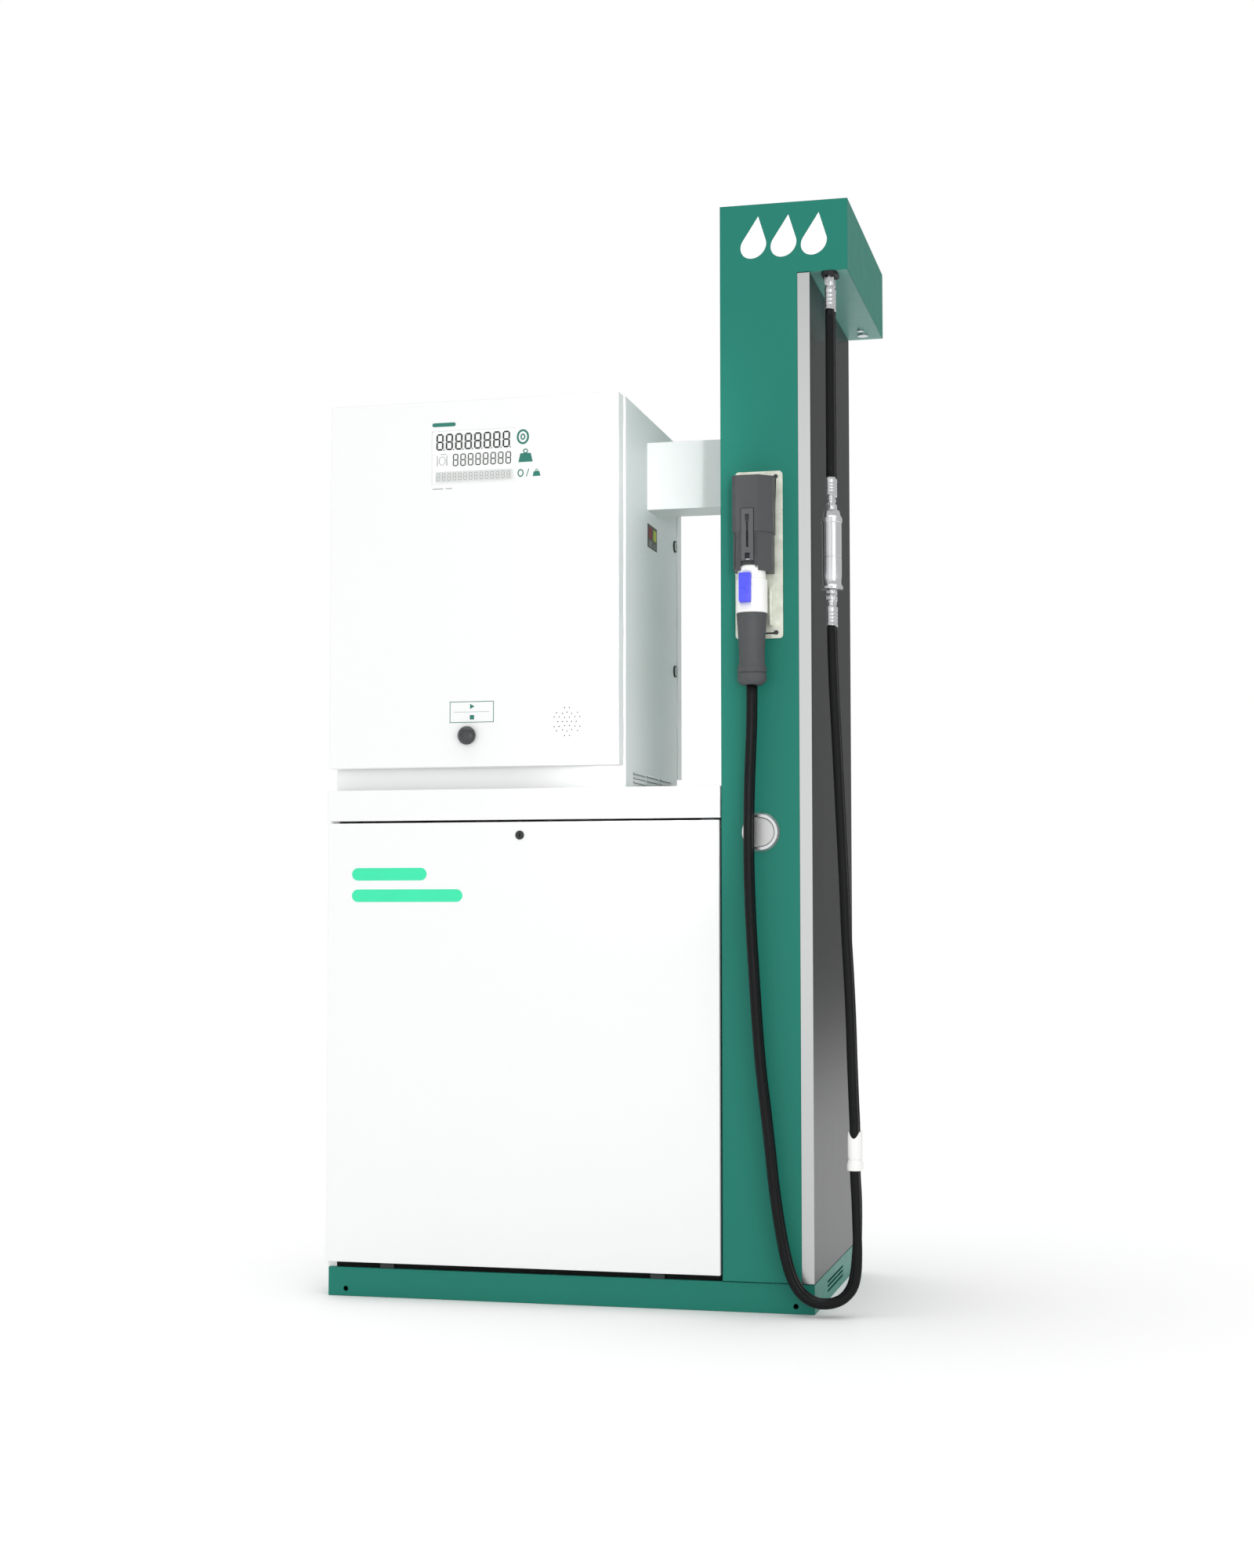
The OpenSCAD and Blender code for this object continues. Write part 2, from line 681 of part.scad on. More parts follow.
// How far the vent hose lies inside the fill hose, at each point of the route
vent_in = [0, 0, 0, 0, 0, 0, 0, 0, 0, 0, 0, 0, 0, 0, 0, 2, 5, 7, 7, 4, 1];
half_twin = [0, twin_pitch / 2, 0];
fill_low = [for (p = low_route) p - half_twin];
vent_low = [for (i = [0:len(low_route) - 1])
  low_route[i] + half_twin - [i < len(vent_in) ? vent_in[i] : 0, 0, 0]];
up_route = [for (i = [0:4]) [hose_x, hose_y, up_ferrule_z + (up_end_z - up_ferrule_z) * i / 4]];
fill_up = [for (p = up_route) p - half_twin];
vent_up = [for (p = up_route) p + half_twin];

function unit(v) = v / norm(v);
function heading(pts, i) = unit(pts[min(i + 1, len(pts) - 1)] - pts[max(i - 1, 0)]);
// One ring of a tube square to its heading, with a side direction that never flips
function ring_at(pts, i, r, sides) =
  let (t = i == 0 || i == len(pts) - 1 ? [0, 0, heading(pts, i)[2] > 0 ? 1 : -1] : heading(pts, i),
       b = unit(cross(t, [0, 1, 0])), n = cross(b, t))
  [for (k = [0:sides - 1]) pts[i] + r * (cos(360 * k / sides) * b + sin(360 * k / sides) * n)];

module hose_tube(pts) {
  sides = 10;
  last = len(pts) - 1;
  color(black) polyhedron(
    points = [for (i = [0:last]) each ring_at(pts, i, hose_d / 2, sides)],
    faces = concat(
      [[for (k = [0:sides - 1]) k]],
      [for (i = [0:last - 1], k = [0:sides - 1])
        [i * sides + k, (i + 1) * sides + k, (i + 1) * sides + (k + 1) % sides, i * sides + (k + 1) % sides]],
      [[for (k = [sides - 1:-1:0]) last * sides + k]]));
}

module fill_hose_upper() { hose_tube(fill_up); }
module vent_hose_upper() { hose_tube(vent_up); }
module fill_hose_lower() { hose_tube(fill_low); }
module vent_hose_lower() { hose_tube(vent_low); }

clamp_at = [610, -297];
clamp_z = [294, 374];

module hose_clamp() {
  color("white") at(clamp_at[0], clamp_at[1], 0) difference() {
    union() {
      at(0, 0, clamp_z[0]) linear_extrude(clamp_z[1] - clamp_z[0]) oval(hose_d + 8);
      at(0, 0, clamp_z[0]) linear_extrude(16) oval(hose_d + 11);
    }
    for (s = [-1, 1])
      at(0, s * twin_pitch / 2, clamp_z[0] - 1) cylinder(d = hose_d + 1, h = 100, $fn = 64);
    at(0, 0, clamp_z[0] - 1) linear_extrude(100) square([4, twin_pitch], center = true);
    at(0, 0, clamp_z[0] + 22) linear_extrude(4) difference() {
      oval(hose_d + 20);
      oval(hose_d + 5);
    }
  }
}

// ---- Round port on the column ----
module port_bezel() {
  color(steel) at(front_mid, -col_y, port_z) rotate([90, 0, 0]) rotate_extrude($fn = 96)
    polygon([[port_d / 2 - 12, -1 - sheet], [port_d / 2 - 8.2, -1 - sheet], [port_d / 2 - 8.2, 0],
      [port_d / 2, 0], [port_d / 2, 3], [port_d / 2 - 4, 8], [port_d / 2 - 10, 8], [port_d / 2 - 12, 5]]);
}

module port_disc() {
  color("gainsboro") at(front_mid, -col_y, port_z) rotate([90, 0, 0])
    translate([0, 0, -1 - sheet]) cylinder(r = port_d / 2 - 12.1, h = 7, $fn = 96);
}

// ---- Holster ----
plate_y = -col_y - plate_t;
plate_z1 = 1733;
plate_z0 = plate_z1 - plate_h;
plate_r = 8;
plate_x0 = front_mid - plate_w / 2;
plate_x1 = front_mid + plate_w / 2;
screw_in = 14;
nozzle_x = front_mid - 9;
nozzle_y = plate_y - 3.5 - sleeve_d / 2;
hood_x = [front_mid - 46, front_mid + 35];
hood_y = nozzle_y - 27;
hood_z = [1598, 1715];
block_z0 = 1517;
sleeve_z = [1431, 1501, 1529];
coupler_r = 13;
lever_x = [front_mid - 26, front_mid];
lever_y = hood_y - 2;
lever_z = [1534, 1645];
pivot_z = 1541;
pivot_y = hood_y + 6;
pivot_r = 2;
knuckle_r = 4;
notch = 1;
channel = 11;

module screw_places() {
  for (x = [plate_x0 + screw_in, plate_x1 - screw_in], z = [plate_z0 + 12, plate_z1 - 12])
    at(x, 0, z) children();
}

module holster_plate() {
  rail_x = plate_x1 - 26;
  color("ivory") {
    difference() {
      translate([plate_x0, -col_y, plate_z0]) rotate([90, 0, 0]) linear_extrude(plate_t) union() {
        translate([plate_r, 0]) square([plate_w - 2 * plate_r, plate_h]);
        translate([0, plate_r]) square([plate_w, plate_h - 2 * plate_r]);
        for (x = [plate_r, plate_w - plate_r], z = [plate_r, plate_h - plate_r])
          translate([x, z]) circle(r = plate_r, $fn = 48);
      }
      screw_places() bar_y(2.5, plate_y - 1, -col_y + 1);
    }
    block([rail_x, plate_y - 14, plate_z0 + 26], [rail_x + 5, plate_y + 1, plate_z0 + 108]);
  }
}

module holster_screws() {
  color(dark) screw_places() {
    bar_y(2.4, plate_y - 1, -col_y);
    bar_y(4.5, plate_y - 2.5, plate_y);
  }
}

// Outline of the hood seen from above: a box with its front corners cut back
module hood_outline(grow) {
  polygon([[hood_x[0] - grow, plate_y], [hood_x[0] - grow, hood_y + 9 - grow], [hood_x[0] + 9, hood_y - grow],
    [hood_x[1] - 25, hood_y - grow], [hood_x[1] + grow, hood_y + 22 - grow], [hood_x[1] + grow, plate_y]]);
}

module holster_block() {
  color(dark) difference() {
    translate([0, 0, block_z0]) linear_extrude(hood_z[0] - block_z0) hood_outline(-2);
    at(nozzle_x, nozzle_y, block_z0 - 1) cylinder(r = coupler_r + 0.5, h = 200, $fn = 64);
    at(nozzle_x, nozzle_y, block_z0 - 1) cylinder(r = 31, h = sleeve_z[2] - block_z0 + 1 + seat, $fn = 96);
    block([lever_x[0] - notch, hood_y - 10, block_z0 - 1], [lever_x[1] + notch, hood_y + channel, hood_z[1]]);
    at(0, pivot_y, pivot_z) bar_x(pivot_r + fit, lever_x[0] - notch - 4, lever_x[1] + notch + 4);
  }
}

module holster_hood() {
  color(dark) difference() {
    translate([0, 0, hood_z[0]]) linear_extrude(hood_z[1] - hood_z[0]) hood_outline(0);
    at(nozzle_x, nozzle_y, hood_z[0] - 1)
      cylinder(r = coupler_r + 9, h = hood_z[1] - hood_z[0] - 5, $fn = 64);
    block([lever_x[0] - notch, hood_y - 10, hood_z[0] - 1],
          [lever_x[1] + notch, hood_y + 5, lever_z[1] + notch]);
  }
}

// Over-centre latch lever: a slotted strap on two knuckles
module latch_lever() {
  color("#5c5e60") difference() {
    union() {
      block([lever_x[0], lever_y, pivot_z - knuckle_r], [lever_x[1], lever_y + 5, lever_z[1]]);
      at(0, pivot_y, pivot_z) bar_x(knuckle_r, lever_x[0], lever_x[1]);
    }
    at(0, pivot_y, pivot_z) bar_x(pivot_r + fit, lever_x[0] - 1, lever_x[1] + 1);
    block([lever_x[0] + 9, lever_y - 1, lever_z[1] - 26], [lever_x[1] - 9, lever_y + 6, lever_z[1] - 12]);
    block([lever_x[0] + 11, lever_y - 1, pivot_z + 24], [lever_x[1] - 11, lever_y + 6, lever_z[1] - 27]);
    block([lever_x[0] + 8, lever_y - 1, lever_z[0] - 1], [lever_x[1] - 8, lever_y + 20, pivot_z + 12]);
  }
}

module latch_pin() {
  color(steel) at(0, pivot_y, pivot_z) bar_x(pivot_r, lever_x[0] - notch - 4, lever_x[1] + notch + 4);
}

// ---- Nozzle ----
grip_l = 148.7;
button_at = [400, 1451, 1511];
button_w = 24;
button_in = 12;
button_travel = 4;
button_y = nozzle_y - sleeve_d / 2 + 5;

module nozzle_coupler() {
  color(steel) at(nozzle_x, nozzle_y, 0) {
    at(0, 0, sleeve_z[2]) rotate_extrude($fn = 64)
      polygon([[0, 0], [coupler_r, 0], [coupler_r, 70], [coupler_r - 2, 74],
        [coupler_r - 2, 80], [coupler_r, 84], [coupler_r, 104], [coupler_r - 4, 111], [0, 111]]);
  }
}

module nozzle_sleeve() {
  r = sleeve_d / 2;
  color("white") difference() {
    at(nozzle_x, nozzle_y, sleeve_z[0]) rotate_extrude($fn = 96)
      polygon([[0, 0], [r - 1, 0], [r, 1], [r, 68], [r - 3, 71], [r - 3, 92], [r - 7, 98], [0, 98]]);
    block([button_at[0] - button_w / 2 - seat, nozzle_y - sleeve_d, button_at[1] - seat],
          [button_at[0] + button_w / 2 + seat, button_y + button_in, button_at[2] + seat]);
  }
}

module nozzle_button() {
  color("#4a50ff")
    block([button_at[0] - button_w / 2, button_y - 14, button_at[1]],
          [button_at[0] + button_w / 2, button_y + button_in - button_travel - seat, button_at[2]]);
}

module nozzle_grip() {
  r = grip_d / 2;
  color(dark) at(nozzle_x, nozzle_y, sleeve_z[0] - grip_l) rotate_extrude($fn = 96)
    polygon([[0, 0], [r - 5, 0], [r + 3, 9], [r + 3, 38], [r, 44], [r - 0.5, 90], [r, grip_l - 18],
      [r + 4, grip_l - 4], [r + 4.5, grip_l], [0, grip_l]]);
}

// ---- Equipment inside the cabinet and the column ----
eq_y = -46;
line_r = 6;
inlet_x = -400;
riser_x = 470;

module gas_inlet() {
  color(steel) at(inlet_x, eq_y, 0) difference() {
    union() {
      at(0, 0, 12) hex_nut(36, 22);
      at(0, 0, 33) cylinder(r = 12.5, h = 168, $fn = 64);
    }
    at(0, 0, 11) cylinder(r = 9.5, h = 220, $fn = 64);
  }
}

module ball_valve() {
  color(steel) at(inlet_x, eq_y, 0) difference() {
    union() {
      block([-28, -28, 201], [28, equip_y - eq_y, 271]);
      at(0, 0, 236) bar_y(12, -42, -27);
    }
    at(0, 0, 236) bar_y(6 + fit, -43, -10);
  }
}

module valve_handle() {
  color("firebrick") at(inlet_x, eq_y, 236) {
    bar_y(6, -50, -12);
    block([-10, -50, -10], [10, -44, 130]);
  }
}

module filter() {
  color(steel) at(inlet_x, eq_y, 0) {
    at(0, 0, 271) cylinder(r = line_r, h = 60, $fn = 48);
    at(0, 0, 330) cylinder(r = 34, h = 150, $fn = 96);
    block([-25, 25, 360], [25, equip_y - eq_y, 440]);
    at(0, 0, 479) cylinder(r = line_r, h = 41, $fn = 48);
  }
}

meter_x = -170;
meter_w = 260;

module flow_meter() {
  color("lightsteelblue") {
    at(meter_x, eq_y, 0) {
      block([-meter_w / 2, -42, 505], [meter_w / 2, 42, 565]);
      at(0, 0, 564) cylinder(r = 25, h = 42, $fn = 64);
      at(0, 0, 605) cylinder(r = 52, h = 90, $fn = 96);
      at(0, 0, 506) rotate([90, 0, 0]) translate([0, 0, -42]) linear_extrude(84)
        polygon([[-120, 0], [-90, -170], [-60, -200], [60, -200], [90, -170], [120, 0]]);
      block([-60, 40, 510], [60, equip_y - eq_y, 560]);
    }
  }
}

valve_xs = [60, 150, 240];
valve_w = 48;

module solenoid_valves() {
  color("dimgray") for (x = valve_xs) at(x, eq_y, 0) {
    block([-valve_w / 2, -valve_w / 2, 512], [valve_w / 2, equip_y - eq_y, 558]);
    at(0, 0, 557) cylinder(r = 12, h = 20, $fn = 48);
    at(0, 0, 576) cylinder(r = 26, h = 66, $fn = 64);
  }
}

module pressure_sensor() {
  color(steel) at(inlet_x, eq_y, 0) {
    at(0, 0, 546) cylinder(r = 8, h = 24, $fn = 48);
    at(0, 0, 569) cylinder(r = 14, h = 70, $fn = 48);
  }
}

elbow_w = 26;

// Straight run of tube between two points that share two of their coordinates, let into
// whatever stands at its ends by the lengths given
module run(a, b, cut = [0, 0]) {
  along = (b - a) / norm(b - a);
  from = a + along * (cut[0] + seat);
  to = b - along * (cut[1] + seat);
  low = [for (i = [0:2]) min(from[i], to[i])];
  translate(low) rotate([along[1] != 0 ? -90 : 0, along[0] != 0 ? 90 : 0, 0])
    cylinder(r = line_r, h = norm(to - from), $fn = 48);
}

// An elbow fitting centred on a bend of the tube
module elbow(p) { translate(p) cube(elbow_w, center = true); }

module pipework() {
  main_z = 533;
  bend_x = 290;
  vent_x = 440;
  riser_z = wall_hole_z + wall_hole[1] / 2;
  fill_z = total_h - 60;
  vent_z = total_h - 95;
  stub_z = canopy_z + 40;
  fill_y = hose_y - twin_pitch / 2;
  vent_y = hose_y + twin_pitch / 2;
  half = elbow_w / 2;
  valve = valve_w / 2;
  color(steel) {
    run([inlet_x, eq_y, main_z], [meter_x, eq_y, main_z], [half, meter_w / 2]);
    run([meter_x, eq_y, main_z], [valve_xs[0], eq_y, main_z], [meter_w / 2, valve]);
    run([valve_xs[0], eq_y, main_z], [valve_xs[1], eq_y, main_z], [valve, valve]);
    run([valve_xs[1], eq_y, main_z], [valve_xs[2], eq_y, main_z], [valve, valve]);
    run([valve_xs[2], eq_y, main_z], [bend_x, eq_y, main_z], [valve, half]);
    fill_run = [[inlet_x, eq_y, main_z], [bend_x, eq_y, main_z], [bend_x, eq_y, riser_z],
      [riser_x, eq_y, riser_z], [riser_x, eq_y, fill_z], [hose_x, eq_y, fill_z], [hose_x, fill_y, fill_z],
      [hose_x, fill_y, stub_z]];
    vent_run = [[vent_x, vent_y, plinth_h + 40], [vent_x, vent_y, vent_z], [hose_x, vent_y, vent_z],
      [hose_x, vent_y, stub_z]];
    for (i = [1:len(fill_run) - 2]) run(fill_run[i], fill_run[i + 1], [half, i < len(fill_run) - 2 ? half : 0]);
    for (i = [0:len(fill_run) - 2]) elbow(fill_run[i]);
    for (i = [0:len(vent_run) - 2])
      run(vent_run[i], vent_run[i + 1], [i > 0 ? half : 0, i < len(vent_run) - 2 ? half : 0]);
    for (i = [1:len(vent_run) - 2]) elbow(vent_run[i]);
  }
}

plinth();
frame();
cabinet_side();
top_cover();
front_panel();
rear_panel();
front_panel_lock();
rear_panel_lock();
head_housing();
front_door();
rear_door();
door_hinges();
door_lock_barrels();
front_upper_cam();
front_lower_cam();
rear_upper_cam();
rear_lower_cam();
display_window();
display_module();
push_knob();
switch_block();
speaker();
label_plate();
controller();
power_supply();
box_duct();
column_front();
column_rear();
column_side_cover();
canopy_shell();
canopy_underside();
hose_grommet();
blanking_plugs();
port_bezel();
port_disc();
holster_plate();
holster_screws();
holster_block();
holster_hood();
latch_lever();
latch_pin();
nozzle_coupler();
nozzle_sleeve();
nozzle_button();
nozzle_grip();
fill_hose_upper();
vent_hose_upper();
fill_hose_lower();
vent_hose_lower();
hose_fittings();
breakaway();
hose_clamp();
gas_inlet();
ball_valve();
valve_handle();
filter();
flow_meter();
solenoid_valves();
pressure_sensor();
pipework();
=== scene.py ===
import math

import bmesh
import bpy
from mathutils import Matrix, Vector


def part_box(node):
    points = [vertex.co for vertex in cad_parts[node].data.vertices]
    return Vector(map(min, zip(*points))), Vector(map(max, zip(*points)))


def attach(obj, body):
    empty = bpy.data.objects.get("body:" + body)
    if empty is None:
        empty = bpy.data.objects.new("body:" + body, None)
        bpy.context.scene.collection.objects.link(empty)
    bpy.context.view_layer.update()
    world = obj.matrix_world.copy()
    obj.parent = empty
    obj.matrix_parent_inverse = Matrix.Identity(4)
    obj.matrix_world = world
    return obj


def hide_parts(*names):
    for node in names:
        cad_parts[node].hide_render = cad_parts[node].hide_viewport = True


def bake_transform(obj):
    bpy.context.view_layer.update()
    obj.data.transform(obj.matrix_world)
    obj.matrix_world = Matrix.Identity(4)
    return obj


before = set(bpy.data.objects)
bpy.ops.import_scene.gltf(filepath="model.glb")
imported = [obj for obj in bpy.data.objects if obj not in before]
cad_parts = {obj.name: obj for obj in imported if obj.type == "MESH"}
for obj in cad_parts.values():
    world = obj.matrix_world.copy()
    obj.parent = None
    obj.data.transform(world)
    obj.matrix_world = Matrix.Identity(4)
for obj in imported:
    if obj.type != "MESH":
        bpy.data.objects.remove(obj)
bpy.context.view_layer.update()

# ---- Camera ----
# A long lens at chest height, a little to the right of the column, so that the front is
# seen nearly square and the column's side just shows.
CAMERA_SPOT = (1.2405, -4.8959, 0.8159)
CAMERA_DEGREES = (93.259, 0.022, 13.526)
LENS_MM, FILM_HEIGHT_MM = 51.9, 36
camera = bpy.data.objects.new("camera", bpy.data.cameras.new("camera"))
camera.location = CAMERA_SPOT
camera.rotation_euler = [math.radians(turn) for turn in CAMERA_DEGREES]
camera.data.sensor_fit = "VERTICAL"
camera.data.sensor_height = FILM_HEIGHT_MM
camera.data.lens = LENS_MM
bpy.context.collection.objects.link(camera)
bpy.context.scene.camera = camera

# ---- Twin hose ----
# Two gas hoses side by side, one for filling and one for venting, each a steel braid
# in a smooth black polyurethane cover. They hang from the breakaway coupling, turn
# once near the floor and climb to the nozzle.
BODY = "dispenser_body"
HOSE_D = 0.019
TWIN = 0.022  # from the middle of one hose to the middle of the other
HOSE_X, HOSE_Y = 0.565, -0.268  # the pair's middle, under the canopy
STEPS_A_POINT = 4

# Routes in millimetres, along the middle between the two lines; VENT_IN moves the vent
# line inward where the pair turns.
LOW_ROUTE = [
    (565, -268, 1407), (566, -269, 1355), (569, -271, 1272), (574, -273, 1173), (579, -276, 1074),
    (584, -280, 975), (589, -283, 876), (593, -286, 778), (598, -289, 690), (602, -291, 604),
    (605, -294, 510), (608, -296, 430), (610, -297, 374), (610, -297, 294), (613, -299, 233),
    (615, -301, 175), (616, -302, 128), (614, -303, 88), (606, -305, 59), (587, -308, 38),
    (561, -312, 28), (532, -316, 29), (508, -319, 42), (492, -320, 61), (480, -321, 87),
    (471, -323, 120), (463, -324, 160), (455, -325, 210), (447, -325, 270), (440, -326, 340),
    (431, -326, 420), (422, -327, 500), (415, -328, 590), (409, -329, 690), (403, -330, 800),
    (400, -331, 900), (400, -332, 990), (402, -334, 1080), (407, -335, 1200), (408, -335, 1282)]
VENT_IN = [0] * 15 + [2, 5, 7, 7, 4, 1] + [0] * 19
UP_ROUTE = [(565, -268, z) for z in (2070, 1982, 1894, 1806, 1718)]


def shown(name, mesh_data, finish, body):
    """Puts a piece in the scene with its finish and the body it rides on."""
    piece = bpy.data.objects.new(name, mesh_data)
    bpy.context.collection.objects.link(piece)
    piece.data.materials.append(finish)
    if body:
        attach(piece, body)
    return piece


def linear(code):
    """The linear colour of a paint-chart code."""
    parts = [int(code[i:i + 2], 16) / 255 for i in (1, 3, 5)]
    return tuple(c / 12.92 if c <= 0.04045 else ((c + 0.055) / 1.055) ** 2.4 for c in parts)


def grain(mat, scale, detail=4.0, stretch=(1, 1, 1)):
    """A noise pattern in the material, drawn out along one way where stretch is small."""
    tree = mat.node_tree
    place = tree.nodes.new("ShaderNodeTexCoord")
    squeeze = tree.nodes.new("ShaderNodeMapping")
    squeeze.inputs["Scale"].default_value = stretch
    noise = tree.nodes.new("ShaderNodeTexNoise")
    noise.inputs["Scale"].default_value = scale
    noise.inputs["Detail"].default_value = detail
    tree.links.new(place.outputs["Object"], squeeze.inputs["Vector"])
    tree.links.new(squeeze.outputs["Vector"], noise.inputs["Vector"])
    return noise.outputs["Fac"]


def spread(mat, pattern, socket, low, high):
    """Lets a pattern move one of the shader's values between low and high."""
    ranged = mat.node_tree.nodes.new("ShaderNodeMapRange")
    ranged.inputs["From Min"].default_value = 0.3
    ranged.inputs["From Max"].default_value = 0.7
    ranged.inputs["To Min"].default_value = low
    ranged.inputs["To Max"].default_value = high
    mat.node_tree.links.new(pattern, ranged.inputs["Value"])
    shader = mat.node_tree.nodes["Principled BSDF"]
    mat.node_tree.links.new(ranged.outputs["Result"], shader.inputs[socket])


def tint(mat, pattern, first, second):
    """Lets a pattern move the colour between two close tones."""
    blend = mat.node_tree.nodes.new("ShaderNodeMix")
    blend.data_type = "RGBA"
    blend.inputs["A"].default_value = (*first, 1)
    blend.inputs["B"].default_value = (*second, 1)
    mat.node_tree.links.new(pattern, blend.inputs["Factor"])
    shader = mat.node_tree.nodes["Principled BSDF"]
    mat.node_tree.links.new(blend.outputs["Result"], shader.inputs["Base Color"])


def emboss(mat, pattern, depth, strength=1.0):
    """Raises the surface by a pattern, on top of any earlier shaping."""
    bump = mat.node_tree.nodes.new("ShaderNodeBump")
    bump.inputs["Distance"].default_value = depth
    bump.inputs["Strength"].default_value = strength
    shader = mat.node_tree.nodes["Principled BSDF"]
    if shader.inputs["Normal"].is_linked:
        earlier = shader.inputs["Normal"].links[0].from_socket
        mat.node_tree.links.new(earlier, bump.inputs["Normal"])
    mat.node_tree.links.new(pattern, bump.inputs["Height"])
    mat.node_tree.links.new(bump.outputs["Normal"], shader.inputs["Normal"])


COAT_ROUGH = 0.12


def new_finish(name, colour, rough, metal=0.0, coat=0.0, shine=0.5):
    """A plain finish, for the patterns that follow to work on."""
    mat = bpy.data.materials.new(name)
    mat.use_nodes = True
    shader = mat.node_tree.nodes["Principled BSDF"]
    shader.inputs["Specular IOR Level"].default_value = shine
    shader.inputs["Base Color"].default_value = (*colour, 1)
    shader.inputs["Roughness"].default_value = rough
    shader.inputs["Metallic"].default_value = metal
    shader.inputs["Coat Weight"].default_value = coat
    shader.inputs["Coat Roughness"].default_value = COAT_ROUGH
    return mat


def soft_edges(mat, radius):
    """Rounds the light on the piece's edges by a small radius."""
    bevel = mat.node_tree.nodes.new("ShaderNodeBevel")
    bevel.samples = 6
    bevel.inputs["Radius"].default_value = radius
    shader = mat.node_tree.nodes["Principled BSDF"]
    mat.node_tree.links.new(bevel.outputs["Normal"], shader.inputs["Normal"])


def rubber_finish(name, tone, scuffed, rough, shine=0.35):
    """Rubber with faint scuffs along its length and a fine moulded skin."""
    mat = new_finish(name, tone, rough, shine=shine)
    tint(mat, grain(mat, 35, 6, (1, 1, 0.25)), tone, scuffed)
    spread(mat, grain(mat, 90), "Roughness", rough - 0.07, rough + 0.1)
    emboss(mat, grain(mat, 900, 2), 0.00006, 0.5)
    return mat


hose_cover = rubber_finish("hose_cover", linear("#08090a"), linear("#101113"), 0.38, 0.16)


def smooth_line(points, steps):
    """Points close together on one smooth curve through the given ones."""
    ends = [points[0] * 2 - points[1]] + points + [points[-1] * 2 - points[-2]]
    line = []
    for a, b, c, d in zip(ends, ends[1:], ends[2:], ends[3:]):
        for i in range(steps):
            t = i / steps
            line.append(0.5 * (2 * b + (c - a) * t + (2 * a - 5 * b + 4 * c - d) * t * t
                               + (3 * b - 3 * c + d - a) * t ** 3))
    return line + [points[-1]]


def hose_line(route, side, inward=None):
    """One line's points in metres; side is -1 for the fill line and 1 for the vent line."""
    inward = inward or [0] * len(route)
    return [Vector((x - inset, y + side * TWIN * 500, z)) / 1000
            for (x, y, z), inset in zip(route, inward)]


def mesh_from(name, bm, sharp=None):
    """Ends the work on a mesh; edges that turn by more than the sharp degrees stay crisp."""
    data = bpy.data.meshes.new(name)
    bm.to_mesh(data)
    bm.free()
    if sharp:
        data.set_sharp_from_angle(angle=math.radians(sharp))
    return data


def skin(bm, rings, smooth=True, capped=True):
    """Joins each ring of points to the next, closes the ends and turns the faces outward."""
    for low, high in zip(rings, rings[1:]):
        for k in range(len(low)):
            n = (k + 1) % len(low)
            bm.faces.new((low[k], low[n], high[n], high[k])).smooth = smooth
    if capped:
        bm.faces.new(rings[0])
        bm.faces.new(rings[-1])
    bmesh.ops.recalc_face_normals(bm, faces=bm.faces)


def hose_mesh(name, line, radius, around=24):
    """A round tube along a line; its end faces are level."""
    bm = bmesh.new()
    rings = []
    for i, p in enumerate(line):
        along = (line[min(i + 1, len(line) - 1)] - line[max(i - 1, 0)]).normalized()
        if i in (0, len(line) - 1):
            along = Vector((0, 0, math.copysign(1, along.z)))
        across = along.cross(Vector((0, 1, 0))).normalized()
        over = across.cross(along)
        rings.append([bm.verts.new(p + radius * (math.cos(a) * across + math.sin(a) * over))
                      for a in (2 * math.pi * k / around for k in range(around))])
    skin(bm, rings)
    return mesh_from(name, bm)


hoses = {}
for name, route, side, inward in (
        ("fill_hose_upper", UP_ROUTE, -1, None), ("vent_hose_upper", UP_ROUTE, 1, None),
        ("fill_hose_lower", LOW_ROUTE, -1, None), ("vent_hose_lower", LOW_ROUTE, 1, VENT_IN)):
    line = smooth_line(hose_line(route, side, inward), STEPS_A_POINT)
    lower = route is LOW_ROUTE
    hose = shown(name + "_cover", hose_mesh(name + "_cover", line, HOSE_D / 2), hose_cover,
                 None if lower else BODY)
    if lower:
        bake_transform(hose)
    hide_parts(name)
    hoses[name] = (hose, line)

# ---- Hose fittings ----
# Crimped ferrules, swivel stubs and hexagon nuts of stainless steel at both ends of the
# upper hoses and at the top of the lower ones. The ferrules are pressed on in a die,
# which leaves shallow rings.
RISE_NUT = 2.120
UP_FERRULE = 2.070
UP_END = 1.718
BREAK_TOP = 1.649
BREAK_LOW = 1.484
LOW_NUT = 1.460
LOW_FERRULE = 1.450
LOW_HOSE = 1.407


def steel_finish(name, colour, rough, spread_by, scale, stretch, depth):
    """Bare steel with tool marks; the marks run long where stretch is small."""
    mat = new_finish(name, colour, rough, 1.0)
    drawn = grain(mat, scale, 3, stretch)
    spread(mat, drawn, "Roughness", rough - spread_by, rough + spread_by)
    tint(mat, grain(mat, 9, 3), colour, tuple(c * 0.94 for c in colour))
    emboss(mat, drawn, depth, 0.3)
    return mat


machined_steel = steel_finish("machined_steel", linear("#c9cbcc"), 0.22, 0.03, 300,
                              (0.1, 0.1, 1), 0.000008)
CRISP = 32  # degrees


